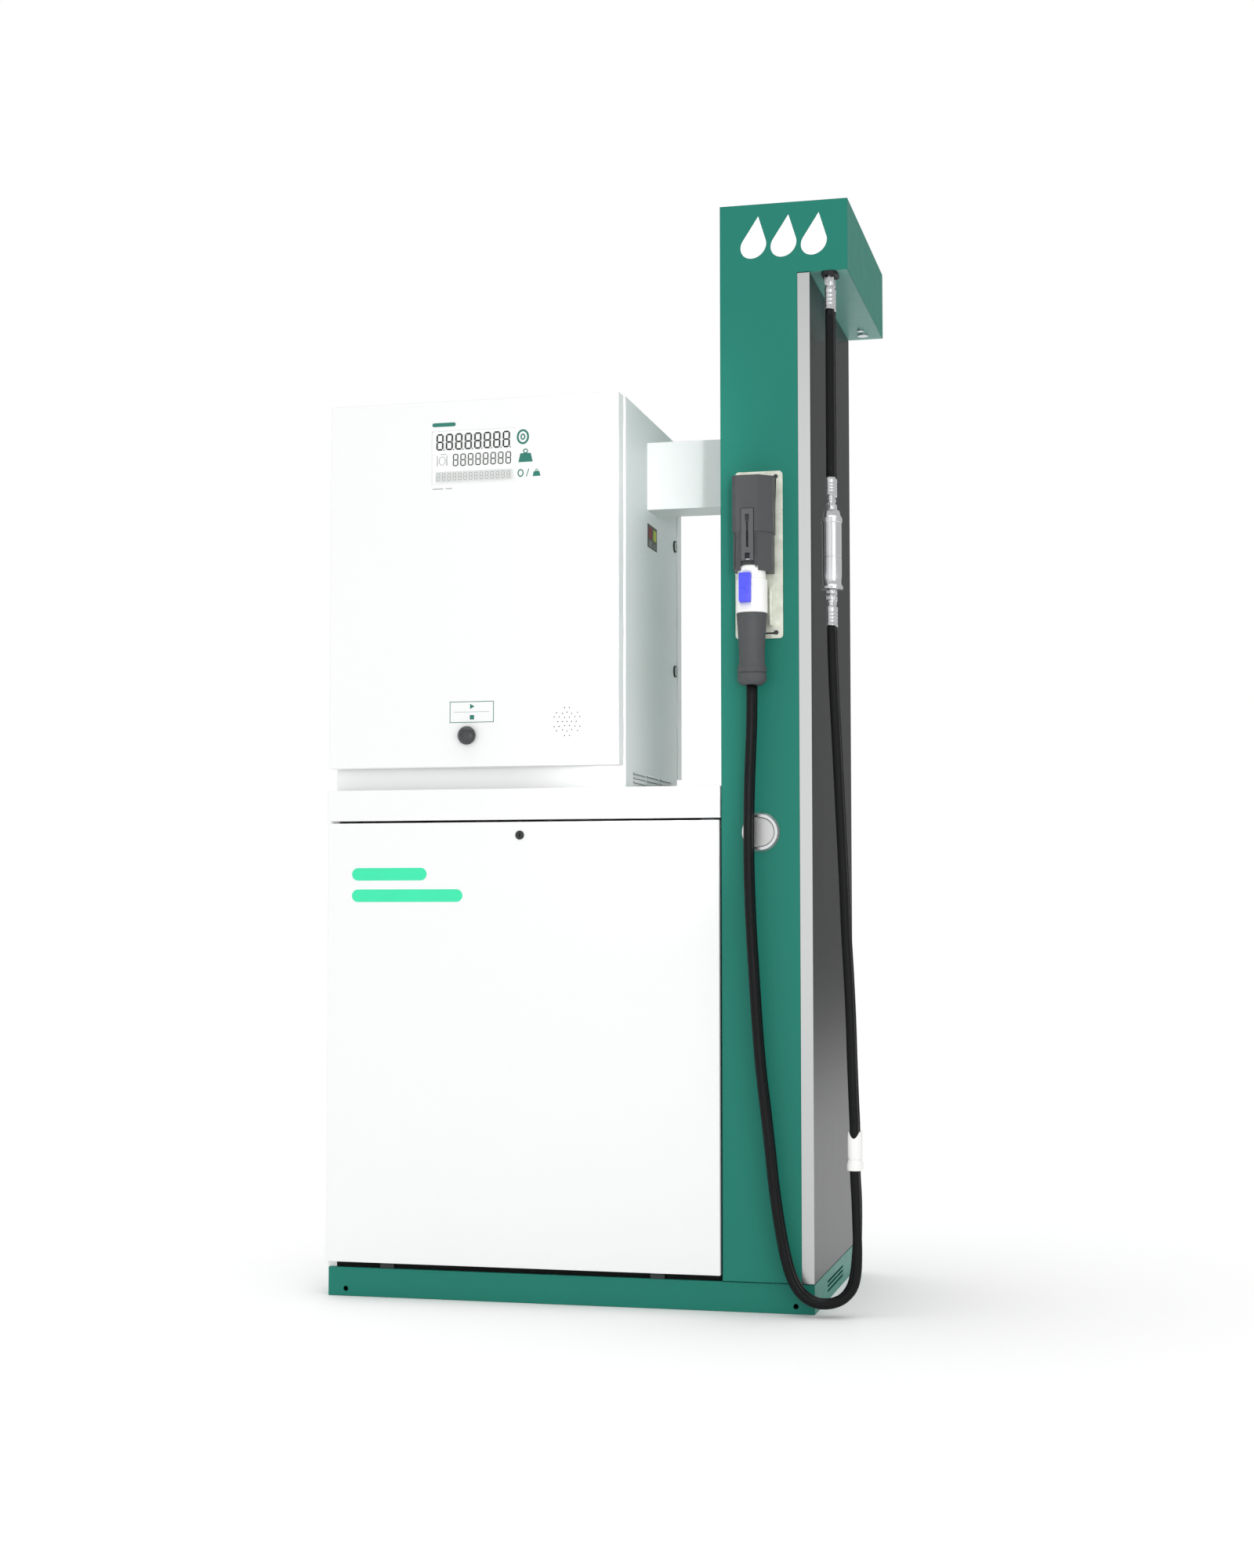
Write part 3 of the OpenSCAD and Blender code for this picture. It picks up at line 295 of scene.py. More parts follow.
def spun(name, centre, levels, around=48, flats=None, axis="Z"):
    """A turned part from (radius, height) levels; flats cuts it to a hexagon of that size."""
    bm = bmesh.new()
    rings = []
    for radius, height in levels:
        ring = []
        for k in range(around):
            a = 2 * math.pi * k / around
            r = radius
            if flats:
                r = min(r, flats / 2 / math.cos((a + math.pi / 6) % (math.pi / 3) - math.pi / 6))
            u, v, w = r * math.cos(a), r * math.sin(a), height
            spot = {"Z": (u, v, w), "-Y": (u, -w, v)}[axis]
            ring.append(bm.verts.new(Vector(centre) + Vector(spot)))
        rings.append(ring)
    skin(bm, rings)
    return mesh_from(name, bm, CRISP)


def joined(name, meshes):
    """Several meshes as one."""
    bm = bmesh.new()
    for data in meshes:
        bm.from_mesh(data)
    merged = mesh_from(name, bm, CRISP)
    for data in meshes:
        bpy.data.meshes.remove(data)
    return merged


FERRULE_R = 0.0104
CRIMPS = 4
CRIMP_START, CRIMP_DEPTH = 0.006, 0.0006


def ferrule(centre, length):
    """A pressed sleeve with shallow rings between its plain ends."""
    r, pressed = FERRULE_R, FERRULE_R - CRIMP_DEPTH
    step = (length - 0.014) / CRIMPS
    levels = [(r - 0.0025, 0), (r - 0.0012, 0.0004), (r, 0.0016), (r, CRIMP_START)]
    for i in range(CRIMPS):
        z = CRIMP_START + i * step
        levels += [(pressed, z + 0.001), (pressed, z + step - 0.0025), (r, z + step - 0.001)]
    levels += [(r, length - 0.003), (r - 0.0008, length - 0.0008), (r - 0.0022, length),
               (0.0055, length)]
    return spun("ferrule", centre, levels)


def nut(centre, height, flats=0.019):
    """A hexagon nut with chamfered corners, flats across as given."""
    r = flats / 2 / math.cos(math.pi / 6)
    return spun("nut", centre, [(flats / 2 - 0.001, 0), (r, 0.0022), (r, height - 0.0022),
                                (flats / 2 - 0.001, height), (0.006, height)], 48, flats)


END_FERRULE = 0.039  # the length of the ferrule at the foot of an upper hose
STUB = [(0.007, 0), (0.007, 0.018), (0.0062, 0.019), (0.0062, 0.05)]
NECK = [(0.0085, 0), (0.007, 0.001), (0.007, 0.004)]
STEM = [(0.0065, 0), (0.0065, 0.006), (0.0078, 0.007), (0.0078, 0.011), (0.0065, 0.012),
        (0.0065, UP_END - END_FERRULE - BREAK_TOP - 0.013)]
SWIVEL = [(0.0085, 0), (0.007, 0.0012), (0.007, 0.005), (0.0082, 0.006), (0.0082, 0.012)]
risers, swivels = [], []
for y in (HOSE_Y - TWIN / 2, HOSE_Y + TWIN / 2):
    risers += [
        spun("stub", (HOSE_X, y, RISE_NUT + 0.019), STUB),
        nut((HOSE_X, y, RISE_NUT), 0.020),
        ferrule((HOSE_X, y, UP_FERRULE), 0.048),
        spun("neck", (HOSE_X, y, UP_FERRULE + 0.047), NECK),
        ferrule((HOSE_X, y, UP_END - END_FERRULE), END_FERRULE),
        spun("stem", (HOSE_X, y, BREAK_TOP + 0.014), STEM),
        nut((HOSE_X, y, BREAK_TOP), 0.015)]
    swivels += [
        nut((HOSE_X, y, LOW_NUT), 0.013),
        nut((HOSE_X, y, LOW_NUT + 0.0135), 0.0105, 0.0185),
        spun("swivel", (HOSE_X, y, LOW_FERRULE - 0.001), SWIVEL),
        ferrule((HOSE_X, y, LOW_HOSE), 0.043)]
upper_fittings = shown("upper_fittings", joined("upper_fittings", risers), machined_steel, BODY)
lower_fittings = shown("lower_fittings", joined("lower_fittings", swivels), machined_steel, BODY)
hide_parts("hose_fittings")
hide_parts("hose_fittings")

# ---- Breakaway coupling ----
# A turned stainless body that parts and shuts both lines if a car drives off with the
# nozzle. Two flanged halves meet at a fine seam and are held by end nuts.
R = 0.0205  # the coupling's radius
BREAKAWAY_LEVELS = [
    (R - 0.006, 0), (R + 0.0015, 0.0003), (R + 0.0025, 0.0013), (R + 0.0025, 0.0062),
    (R + 0.0016, 0.0072), (R + 0.0002, 0.0105), (R - 0.001, 0.013), (R - 0.001, 0.0215),
    (R, 0.0255), (R, 0.066), (R - 0.0007, 0.0668), (R - 0.0007, 0.0682), (R, 0.069),
    (R, 0.1385), (R + 0.0012, 0.1402), (R + 0.0015, 0.1415), (R + 0.0015, 0.1492),
    (R + 0.0007, 0.1502), (R - 0.002, 0.155), (R - 0.0036, 0.163), (R - 0.0048, 0.165),
    (0.004, 0.165)]
breakaway_mesh = spun("breakaway_body", (HOSE_X, HOSE_Y, BREAK_LOW), BREAKAWAY_LEVELS, 96)
breakaway = shown("breakaway_body", breakaway_mesh, machined_steel, BODY)
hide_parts("breakaway")

# ---- Hose clamp ----
# A white nylon saddle that keeps the two hoses together above the turn: a sleeve with
# a lobed top, a groove for its tie and a thicker foot ring.
CLAMP = (0.610, -0.297)
CLAMP_Z = (0.294, 0.374)


def plastic_finish(name, colour, rough, coat=0.0, peel=0.00005):
    """Moulded plastic or ink, with a slightly uneven gloss and a fine skin."""
    mat = new_finish(name, colour, rough, 0.0, coat)
    spread(mat, grain(mat, 60, 5), "Roughness", rough - 0.05, rough + 0.07)
    tint(mat, grain(mat, 14, 4), colour, tuple(c * 0.93 for c in colour))
    emboss(mat, grain(mat, 1400, 2), peel, 0.5)
    return mat


white_nylon = plastic_finish("white_nylon", linear("#f4f4f1"), 0.38)


def oval_ring(bm, width, z, lobes, around=40):
    """A ring round both hoses; lobes lifts it at its ends and lowers it at its sides."""
    ring = []
    for k in range(around):
        a = 2 * math.pi * k / around
        side = math.copysign(TWIN / 2, math.sin(a)) if abs(math.sin(a)) > 1e-6 else 0
        ring.append(bm.verts.new((CLAMP[0] + width / 2 * math.cos(a),
                                  CLAMP[1] + side + width / 2 * math.sin(a),
                                  z + lobes * math.cos(2 * a))))
    return ring


OUTER, BORE = HOSE_D + 0.008, HOSE_D + 0.0012
FOOT, CROWN = CLAMP_Z
CLAMP_LEVELS = [
    (OUTER, FOOT + 0.001, 0), (OUTER + 0.003, FOOT + 0.0018, 0),
    (OUTER + 0.003, FOOT + 0.0152, 0), (OUTER + 0.0005, FOOT + 0.0165, 0),
    (OUTER, FOOT + 0.0215, 0), (OUTER - 0.003, FOOT + 0.0222, 0),
    (OUTER - 0.003, FOOT + 0.0258, 0), (OUTER, FOOT + 0.0265, 0),
    (OUTER, CROWN - 0.012, 0.004), (OUTER - 0.0012, CROWN - 0.0075, 0.0065),
    (BORE, CROWN - 0.0075, 0.0065), (BORE, FOOT + 0.001, 0)]
bm = bmesh.new()
rings = [oval_ring(bm, width, z, lobes) for width, z, lobes in CLAMP_LEVELS]
skin(bm, rings + rings[:1], capped=False)
clamp_mesh = mesh_from("hose_saddle", bm, 40)
clamp = shown("hose_saddle", clamp_mesh, white_nylon, BODY)
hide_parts("hose_clamp")

for name, far, company in (
        ("fill_hose_upper", "fitting", [upper_fittings]),
        ("vent_hose_upper", "fitting", [upper_fittings]),
        ("fill_hose_lower", "tool", [clamp]), ("vent_hose_lower", "tool", [clamp])):
    hose, line = hoses[name]

# ---- Outlet grommet and blanking plugs ----
# A moulded rubber grommet closes the canopy's underside round the two lines, and two
# steel plugs close the places where the rear side's lines would come out.
black_moulding = rubber_finish("black_moulding", linear("#121214"), linear("#202023"), 0.5)


EDGE_TURN, MERGE_WITHIN, FLAT_FACE_WEIGHT = 38, 0.00001, 60


def carry(node, finish, edge=0.0, turns=2):
    """Gives a frame part its finish and, where edge is given, broken edges that catch light."""
    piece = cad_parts[node]
    if not piece.data.materials:
        piece.data.materials.append(finish)
    for spot in piece.material_slots:
        spot.material = finish
    if edge:
        weld = piece.modifiers.new("join_faces", "WELD")
        weld.merge_threshold = MERGE_WITHIN
        bevel = piece.modifiers.new("broken_edges", "BEVEL")
        bevel.width = edge
        bevel.segments = turns
        bevel.limit_method = "ANGLE"
        bevel.angle_limit = math.radians(EDGE_TURN)
        bevel.use_clamp_overlap = True
        even = piece.modifiers.new("even_shading", "WEIGHTED_NORMAL")
        even.keep_sharp = False
        even.weight = FLAT_FACE_WEIGHT
    return piece


carry("hose_grommet", black_moulding, 0.0012)
carry("blanking_plugs", machined_steel, 0.0008)

# ---- Nozzle ----
# A twist-free filling nozzle: a turned steel coupler, a white nylon sleeve with a blue
# release button, and a dark rubber grip that tapers from the sleeve to a grooved ring at
# its foot, where it takes in the hoses. All but the steel is moulded and pressed on.
NOZZLE = (0.408, -0.335)
SLEEVE_FOOT, COUPLER_FOOT = 1.431, 1.529
COUPLER_LEVELS = [
    (0.0125, 0), (0.013, 0.0005), (0.013, 0.0695), (0.011, 0.074), (0.011, 0.080), (0.013, 0.084),
    (0.013, 0.104), (0.0115, 0.1085), (0.009, 0.111), (0.004, 0.111), (0.004, 0.1)]
coupler = shown("coupler", spun("coupler", (*NOZZLE, COUPLER_FOOT), COUPLER_LEVELS), machined_steel,
                "nozzle")
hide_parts("nozzle_coupler")

S = 0.0325  # the sleeve's radius
BUTTON_X, BUTTON_Z = 0.400, (1.451, 1.511)
SLEEVE_FRONT = NOZZLE[1] - S
sleeve_data = spun("sleeve_shell", (*NOZZLE, SLEEVE_FOOT), [
    (S - 0.004, 0), (S - 0.0012, 0.0003), (S, 0.0015), (S, 0.0678), (S - 0.0005, 0.0688),
    (S - 0.0032, 0.0712), (S - 0.0032, 0.0905), (S - 0.004, 0.0935), (S - 0.0072, 0.0975),
    (S - 0.0085, 0.098), (0.002, 0.098)], 96)
sleeve = shown("sleeve_shell", sleeve_data, white_nylon, "nozzle")
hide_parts("nozzle_sleeve")


def rounded(name, low, high, edge, turns=3):
    """A block with rounded edges, between its lowest and highest corners."""
    bm = bmesh.new()
    bmesh.ops.create_cube(bm, size=1)
    for v in bm.verts:
        v.co = Vector([(l + h) / 2 + c * (h - l) for c, l, h in zip(v.co, low, high)])
    bmesh.ops.bevel(bm, geom=bm.edges[:], offset=edge, segments=turns, profile=0.5, affect="EDGES")
    for face in bm.faces:
        face.smooth = True
    return mesh_from(name, bm, 50)


HALF_POCKET, HALF_PAD, HALF_RIB = 0.0125, 0.012, 0.008
button_front = SLEEVE_FRONT + 0.005 - 0.014
pocket = bpy.data.objects.new("button_pocket_cutter", rounded(
    "button_pocket_cutter", (BUTTON_X - HALF_POCKET, SLEEVE_FRONT - 0.01, BUTTON_Z[0] - 0.0005),
    (BUTTON_X + HALF_POCKET, SLEEVE_FRONT + 0.017, BUTTON_Z[1] + 0.0005), 0.001))
bpy.context.collection.objects.link(pocket)
cut = sleeve.modifiers.new("button_pocket", "BOOLEAN")
cut.operation = "DIFFERENCE"
cut.object = pocket
cut.solver = "EXACT"
bpy.context.view_layer.update()
evaluated = sleeve.evaluated_get(bpy.context.evaluated_depsgraph_get())
cut_mesh = bpy.data.meshes.new_from_object(evaluated)
sleeve.modifiers.remove(cut)
sleeve.data = cut_mesh
bpy.data.objects.remove(pocket)

blue_plastic = plastic_finish("blue_plastic", linear("#4348ff"), 0.3, 0.4)
shapes = [rounded("pad", (BUTTON_X - HALF_PAD, button_front, BUTTON_Z[0]),
                  (BUTTON_X + HALF_PAD, SLEEVE_FRONT + 0.0125, BUTTON_Z[1]), 0.0022)]
THUMB_RIBS, RIB_PITCH = 5, 0.006
for i in range(THUMB_RIBS):
    z = BUTTON_Z[0] + 0.018 + i * RIB_PITCH
    shapes.append(rounded("rib", (BUTTON_X - HALF_RIB, button_front - 0.0007, z - 0.0011),
                          (BUTTON_X + HALF_RIB, button_front + 0.002, z + 0.0011), 0.0006, 2))
button = shown("release_button", joined("release_button", shapes), blue_plastic,
               "nozzle_button")
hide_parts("nozzle_button")

grip_rubber = rubber_finish("grip_rubber", linear("#444648"), linear("#4e5052"), 0.55)
G, GRIP_L = 0.027, 0.1487  # the grip's radius at its waist, and its length
GRIP_LEVELS = [
    (G - 0.0145, 0), (G - 0.0065, 0.0003), (G - 0.005, 0.0012), (G + 0.0018, 0.0075),
    (G + 0.003, 0.0105), (G + 0.003, 0.0235), (G + 0.0014, 0.0245), (G + 0.0014, 0.0260),
    (G + 0.003, 0.0270), (G + 0.003, 0.0365), (G + 0.0020, 0.0385), (G + 0.0004, 0.0425),
    (G - 0.0004, 0.052), (G - 0.0004, 0.066), (G + 0.0004, 0.086), (G + 0.0014, 0.104),
    (G + 0.0026, 0.122), (G + 0.0038, 0.138), (G + 0.0045, GRIP_L - 0.0030),
    (G + 0.0045, GRIP_L - 0.0006), (G + 0.0038, GRIP_L), (0.004, GRIP_L)]
grip = shown("hand_grip", spun("hand_grip", (*NOZZLE, SLEEVE_FOOT - GRIP_L), GRIP_LEVELS, 96),
             grip_rubber, "nozzle")
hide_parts("nozzle_grip")

# ---- Holster ----
# A buffed steel plate with rounded corners carries a glass-filled nylon hood and a block
# below it that holds the coupler. Socket screws fix the plate, and a slotted latch lever
# on a steel pin locks the nozzle in.
cream_steel = new_finish("cream_steel", linear("#edf0e2"), 0.32, 0.25, 0.3)
tint(cream_steel, grain(cream_steel, 40, 5), linear("#fbfdf2"), linear("#a8ad98"))
spread(cream_steel, grain(cream_steel, 30, 5), "Roughness", 0.2, 0.45)
emboss(cream_steel, grain(cream_steel, 70, 3), 0.0004, 0.6)
carry("holster_plate", cream_steel, 0.0008)

dark_screw = steel_finish("dark_screw", linear("#4a4b4d"), 0.35, 0.08, 300, (1, 1, 1), 0.00003)
SCREWS = [(x, z) for x in (0.381, 0.453) for z in (1.395, 1.721)]
PLATE_Y = -0.299
SCREW_LEVELS = [(0.0045, 0), (0.0045, 0.0016), (0.004, 0.0023), (0.0031, 0.0025),
                (0.0026, 0.0024), (0.0024, 0.0012), (0.0005, 0.0012)]
heads = [spun("screw", (x, PLATE_Y, z), SCREW_LEVELS, 36, None, "-Y") for x, z in SCREWS]
screws = shown("socket_screws", joined("socket_screws", heads), dark_screw, BODY)
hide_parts("holster_screws")

hood_nylon = plastic_finish("hood_nylon", linear("#434547"), 0.5, 0.0, 0.00002)
carry("holster_hood", hood_nylon, 0.0022, 3)
carry("holster_block", hood_nylon, 0.0016, 3)
RIB_X = (0.3755, 0.3810, 0.3865, 0.4215, 0.4265)
HALF_BLOCK_RIB = 0.0011
ribs = [rounded("rib", (x - HALF_BLOCK_RIB, -0.3612, 1.522),
                (x + HALF_BLOCK_RIB, -0.3575, 1.592), 0.0007, 2) for x in RIB_X]
shown("block_ribs", joined("block_ribs", ribs), hood_nylon, BODY)
lever_nylon = plastic_finish("lever_nylon", linear("#505254"), 0.42, 0.0, 0.00002)
carry("latch_lever", lever_nylon, 0.0008, 2)
carry("latch_pin", machined_steel, 0.0003)

# ---- Plinth ----
# A folded and welded sheet-steel frame that is bolted to the island. It is powder coated
# in the same green as the column.
POWDER_SHINE = 0.12
EDGE_R = 0.0014


def powder_coat(name, colour, shade, rough):
    """Powder-coated sheet: a slight change of tone, a fine skin and soft folded edges."""
    mat = new_finish(name, colour, rough, shine=POWDER_SHINE)
    tint(mat, grain(mat, 1.6, 3), colour, shade)
    spread(mat, grain(mat, 24, 5), "Roughness", rough - 0.02, rough + 0.03)
    soft_edges(mat, EDGE_R)
    emboss(mat, grain(mat, 500, 2), 0.00001, 0.1)
    return mat


green_coat = powder_coat("green_coat", linear("#267e6e"), linear("#247a6b"), 0.36)
carry("plinth", green_coat)

# ---- Welded frame ----
# Square steel tube in grey primer behind the covers, with the plate that the gas
# equipment is screwed to. It only shows when a service panel or a door is open.
grey_primer = powder_coat("grey_primer", linear("#8a9299"), linear("#7e868d"), 0.6)
carry("frame", grey_primer)

# ---- Cabinet ----
# White powder-coated sheet: a fixed side, a deep top cover with a band all round, and a
# service panel on each face that hooks in at the foot and closes with one cam lock.
white_coat = powder_coat("white_coat", linear("#f3f3f3"), linear("#f1f2f2"), 0.32)
carry("cabinet_side", white_coat)
carry("top_cover", white_coat)
HOOK_TOP = 0.0728  # the panels' hooks, below this height, are painted dark as painted shade
panel_coat_hook_shade = powder_coat("panel_coat_hook_shade", linear("#f3f3f3"), linear("#f1f2f2"), 0.32)


def place_on(mat):
    """The place of each point of the piece, as X, Y and Z."""
    place = mat.node_tree.nodes.new("ShaderNodeTexCoord")
    split = mat.node_tree.nodes.new("ShaderNodeSeparateXYZ")
    mat.node_tree.links.new(place.outputs["Object"], split.inputs["Vector"])
    return split.outputs


def worked(mat, kind, a, b=None):
    """One arithmetic node in a finish; each input is a socket or a number."""
    node = mat.node_tree.nodes.new("ShaderNodeMath")
    node.operation = kind
    for socket, given in zip(node.inputs, (a, b)):
        if isinstance(given, (int, float)):
            socket.default_value = given
        elif given:
            mat.node_tree.links.new(given, socket)
    return node.outputs["Value"]


def painted_where(mat, mask, colour):
    """Lays another colour over the finish wherever the mask is 1."""
    links = mat.node_tree.links
    shader = mat.node_tree.nodes["Principled BSDF"]
    pick = mat.node_tree.nodes.new("ShaderNodeMix")
    pick.data_type = "RGBA"
    pick.inputs["B"].default_value = (*colour, 1)
    links.new(mask, pick.inputs["Factor"])
    links.new(shader.inputs["Base Color"].links[0].from_socket, pick.inputs["A"])
    links.new(pick.outputs["Result"], shader.inputs["Base Color"])


# Painted shade: the hooks under the panels are coloured dark where they sit in the shade below the
# panel's foot.
painted_where(panel_coat_hook_shade, worked(panel_coat_hook_shade, "LESS_THAN", place_on(panel_coat_hook_shade)["Z"], HOOK_TOP),
              linear("#3a3d3d"))
carry("front_panel", panel_coat_hook_shade)
carry("rear_panel", panel_coat_hook_shade)
lock_plastic = plastic_finish("lock_plastic", linear("#232426"), 0.35)
carry("front_panel_lock", lock_plastic)
carry("rear_panel_lock", lock_plastic)

# ---- Foot seals, dark as painted shade ----
# A strip of black foam rubber with a round top, stuck along the plinth's flange behind
# each service panel. Its black is painted shade: it fills the slot at the panel's foot, which
# is in shade, and keeps light from showing through; as a seal it also keeps spray and dust out.
SEAL_PROFILE = (  # distance from the cabinet's middle, height above the flange
    (0.2805, 0.0), (0.2807, 0.004), (0.2805, 0.009), (0.2795, 0.0122), (0.2770, 0.0135),
    (0.2745, 0.0122), (0.2735, 0.009), (0.2733, 0.004), (0.2735, 0.0))
SEAL_START, SEAL_STEPS = -0.509, 26
SEAL_BEND, SEAL_SWELL = 0.0003, 0.02  # it is laid by hand, so it wanders and swells a little
seal_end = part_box("front_panel")[1][0] - 0.001
flange_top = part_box("plinth")[1][2]
foam = rubber_finish("foam_rubber", linear("#0d0e0e"), linear("#171818"), 0.9, 0.2)
for seal_name, side in (("front_foot_seal_shade", -1), ("rear_foot_seal_shade", 1)):
    bm = bmesh.new()
    rows = []
    for k in range(SEAL_STEPS + 1):
        x = SEAL_START + (seal_end - SEAL_START) * k / SEAL_STEPS
        bend = SEAL_BEND * math.sin(40 * x)
        swell = 1 + SEAL_SWELL * math.sin(63 * x)
        rows.append([bm.verts.new((x, side * (depth + bend), flange_top + height * swell))
                     for depth, height in SEAL_PROFILE])
    skin(bm, rows, smooth=False)
    shown(seal_name, mesh_from(seal_name, bm), foam, BODY)

# ---- Head ----
# The display head is a welded box on the cabinet with louvres low on both sides, and a
# door pan on each face that swings on hidden pins and locks from the side.
for node in ("head_housing", "front_door", "rear_door", "box_duct"):
    carry(node, white_coat)
zinc = steel_finish("zinc_plate", linear("#b4b6b6"), 0.4, 0.1, 60, (1, 1, 1), 0.00005)
carry("door_hinges", zinc)
for cam in ("front_upper_cam", "front_lower_cam", "rear_upper_cam", "rear_lower_cam"):
    carry(cam, zinc)
LOCK_Y, LOCK_Z, LOCK_PITCH = 0.230, 1.5235, 0.1465
HALF_KEY_W, HALF_KEY_H, LOCK_FACE_R = 0.0011, 0.0045, 0.0102
lock_face = plastic_finish("lock_face", linear("#17181a"), 0.35)


def on_face(kind, a, b=None):
    """One arithmetic node in the lock faces' finish."""
    return worked(lock_face, kind, a, b)


# Each lock has a pale round face with a dark upright key slot in its middle.
spot = place_on(lock_face)
across = on_face("SUBTRACT", on_face("ABSOLUTE", spot["Y"]), LOCK_Y)
from_middle = on_face("ABSOLUTE", on_face("SUBTRACT", spot["Z"], LOCK_Z))
up = on_face("SUBTRACT", from_middle, LOCK_PITCH)
far = on_face("SQRT", on_face("ADD", on_face("MULTIPLY", across, across),
                              on_face("MULTIPLY", up, up)))
in_slot = on_face("MULTIPLY", on_face("LESS_THAN", on_face("ABSOLUTE", across), HALF_KEY_W),
                  on_face("LESS_THAN", on_face("ABSOLUTE", up), HALF_KEY_H))
pale = on_face("MULTIPLY", on_face("LESS_THAN", far, LOCK_FACE_R),
               on_face("SUBTRACT", 1.0, in_slot))
painted_where(lock_face, pale, linear("#d9dddb"))
carry("door_lock_barrels", lock_face)

# ---- Display ----
# A clear acrylic window behind the door skin, over a reflective liquid-crystal display
# with two rows of figures, a row of small ones and plain unit marks printed on the door.
SHEER, PAINTED_GLOW = 0.06, 0.2
acrylic = new_finish("acrylic", (0.96, 0.98, 0.97), 0.08)
acrylic.node_tree.nodes["Principled BSDF"].inputs["Alpha"].default_value = SHEER
carry("display_window", acrylic)
lcd_board = plastic_finish("lcd_board", linear("#fbfcfb"), 0.5)
# Painted light: the reflective display's board glows faintly, lifting it out of the shade in its
# recess.
lit = lcd_board.node_tree.nodes["Principled BSDF"].inputs
lit["Emission Color"].default_value = (0.95, 1.0, 0.97, 1)
lit["Emission Strength"].default_value = PAINTED_GLOW
carry("display_module", lcd_board)

FRONT_DOOR = "front_door"
INK = 0.0002
ink = plastic_finish("figure_ink", linear("#17181a"), 0.6)
pale_ink = plastic_finish("pale_ink", linear("#9aa09d"), 0.6)
teal_ink = plastic_finish("teal_ink", linear("#237a6a"), 0.55)
GLASS_Y = -0.2981


def raised(bm, face_points, back_points):
    """A thin print: its face and its rim, from matching outlines in front and behind."""
    face = [bm.verts.new(p) for p in face_points]
    back = [bm.verts.new(p) for p in back_points]
    bm.faces.new(face)
    for i in range(len(face)):
        n = (i + 1) % len(face)
        bm.faces.new((face[i], back[i], back[n], face[n]))


def bar(bm, x0, z0, x1, z1, y, thick):
    """One flat printed bar between two corners, raised by the thickness of the ink."""
    corners = ((x0, z0), (x1, z0), (x1, z1), (x0, z1))
    raised(bm, [(x, y - thick, z) for x, z in corners], [(x, y, z) for x, z in corners])


def segment(bm, x0, z0, x1, z1, thick, y):
    """One figure segment with pointed ends."""
    a, b = Vector((x0, 0, z0)), Vector((x1, 0, z1))
    along = (b - a).normalized()
    across = Vector((-along.z, 0, along.x)) * thick / 2
    tip = along * thick / 2
    outline = [a, a + tip + across, b - tip + across, b, b - tip - across, a + tip - across]
    raised(bm, [(p.x, y - INK, p.z) for p in outline], [(p.x, y, p.z) for p in outline])


def figure(bm, x, z, width, height, thick, y, slant=0.015):
    """A figure eight of seven segments, all of them on, that leans a little."""
    gap = thick * 0.12

    def lean(u, v):
        return x + u + slant * v, z + v

    rows = (0, height / 2, height)
    for v in rows:
        segment(bm, *lean(gap, v), *lean(width - gap, v), thick, y)
    for u in (0, width):
        for low, high in ((rows[0], rows[1]), (rows[1], rows[2])):
            segment(bm, *lean(u, low + gap), *lean(u, high - gap), thick, y)


def printed(name, bm, finish, body):
    """Ends a print and puts it on the body that carries it."""
    bmesh.ops.recalc_face_normals(bm, faces=bm.faces)
    return shown(name, mesh_from(name, bm), finish, body)


bm = bmesh.new()
ROW_START, FIGURES, TOP_PITCH, MIDDLE_PITCH = -0.2868, 8, 0.0213, 0.0169
TOP_ROW, MIDDLE_ROW, SMALL_ROW = 1.8125, 1.7765, 1.7455
for i in range(FIGURES):
    x = ROW_START + i * TOP_PITCH
    figure(bm, x, TOP_ROW, 0.0128, 0.0325, 0.0034, GLASS_Y)
    bar(bm, x + 0.0150, TOP_ROW - 0.0025, x + 0.0172, TOP_ROW, GLASS_Y, INK)
for i in range(FIGURES):
    figure(bm, -0.2500 + i * MIDDLE_PITCH, MIDDLE_ROW, 0.0100, 0.0245, 0.0022, GLASS_Y)
printed("amount_figures", bm, ink, FRONT_DOOR)

bm = bmesh.new()
bar(bm, -0.2900, 1.7415, -0.1170, 1.7645, GLASS_Y, INK / 2)
field_grey = plastic_finish("field_grey", linear("#dcdfdd"), 0.6)
printed("small_row_field", bm, field_grey, FRONT_DOOR)
bm = bmesh.new()
SMALL_FIGURES, SMALL_PITCH = 14, 0.0121
for i in range(SMALL_FIGURES):
    figure(bm, ROW_START + i * SMALL_PITCH, SMALL_ROW, 0.0064, 0.0145, 0.0010, GLASS_Y - INK / 2)
mid_ink = plastic_finish("mid_ink", linear("#9a9f9d"), 0.6)
printed("small_row_figures", bm, mid_ink, FRONT_DOOR)

# A plain ring between two upright strokes, left of the middle row
bm = bmesh.new()
for x in (-0.2860, -0.2645):
    segment(bm, x, MIDDLE_ROW, x, 1.8000, 0.0012, GLASS_Y)
RING_X, RING_Z, RING_RX, RING_RZ, RING_SIDES = -0.2750, 1.7880, 0.0072, 0.0092, 12
for i in range(RING_SIDES):
    a, b = (2 * math.pi * k / RING_SIDES for k in (i, i + 1))
    segment(bm, RING_X + RING_RX * math.cos(a), RING_Z + RING_RZ * math.sin(a),
            RING_X + RING_RX * math.cos(b), RING_Z + RING_RZ * math.sin(b), 0.0010, GLASS_Y)
segment(bm, -0.2795, 1.8020, -0.2660, 1.8020, 0.0010, GLASS_Y)
printed("display_symbols", bm, ink, FRONT_DOOR)

# ---- Printed marks on the door ----
# Screen-printed teal marks beside each display row, plain shapes that stand for money,
# for weight and for the price of a weight, and a frame for the push knob's label.
DOOR_FACE = -0.3000
LOOP_STEPS = 40


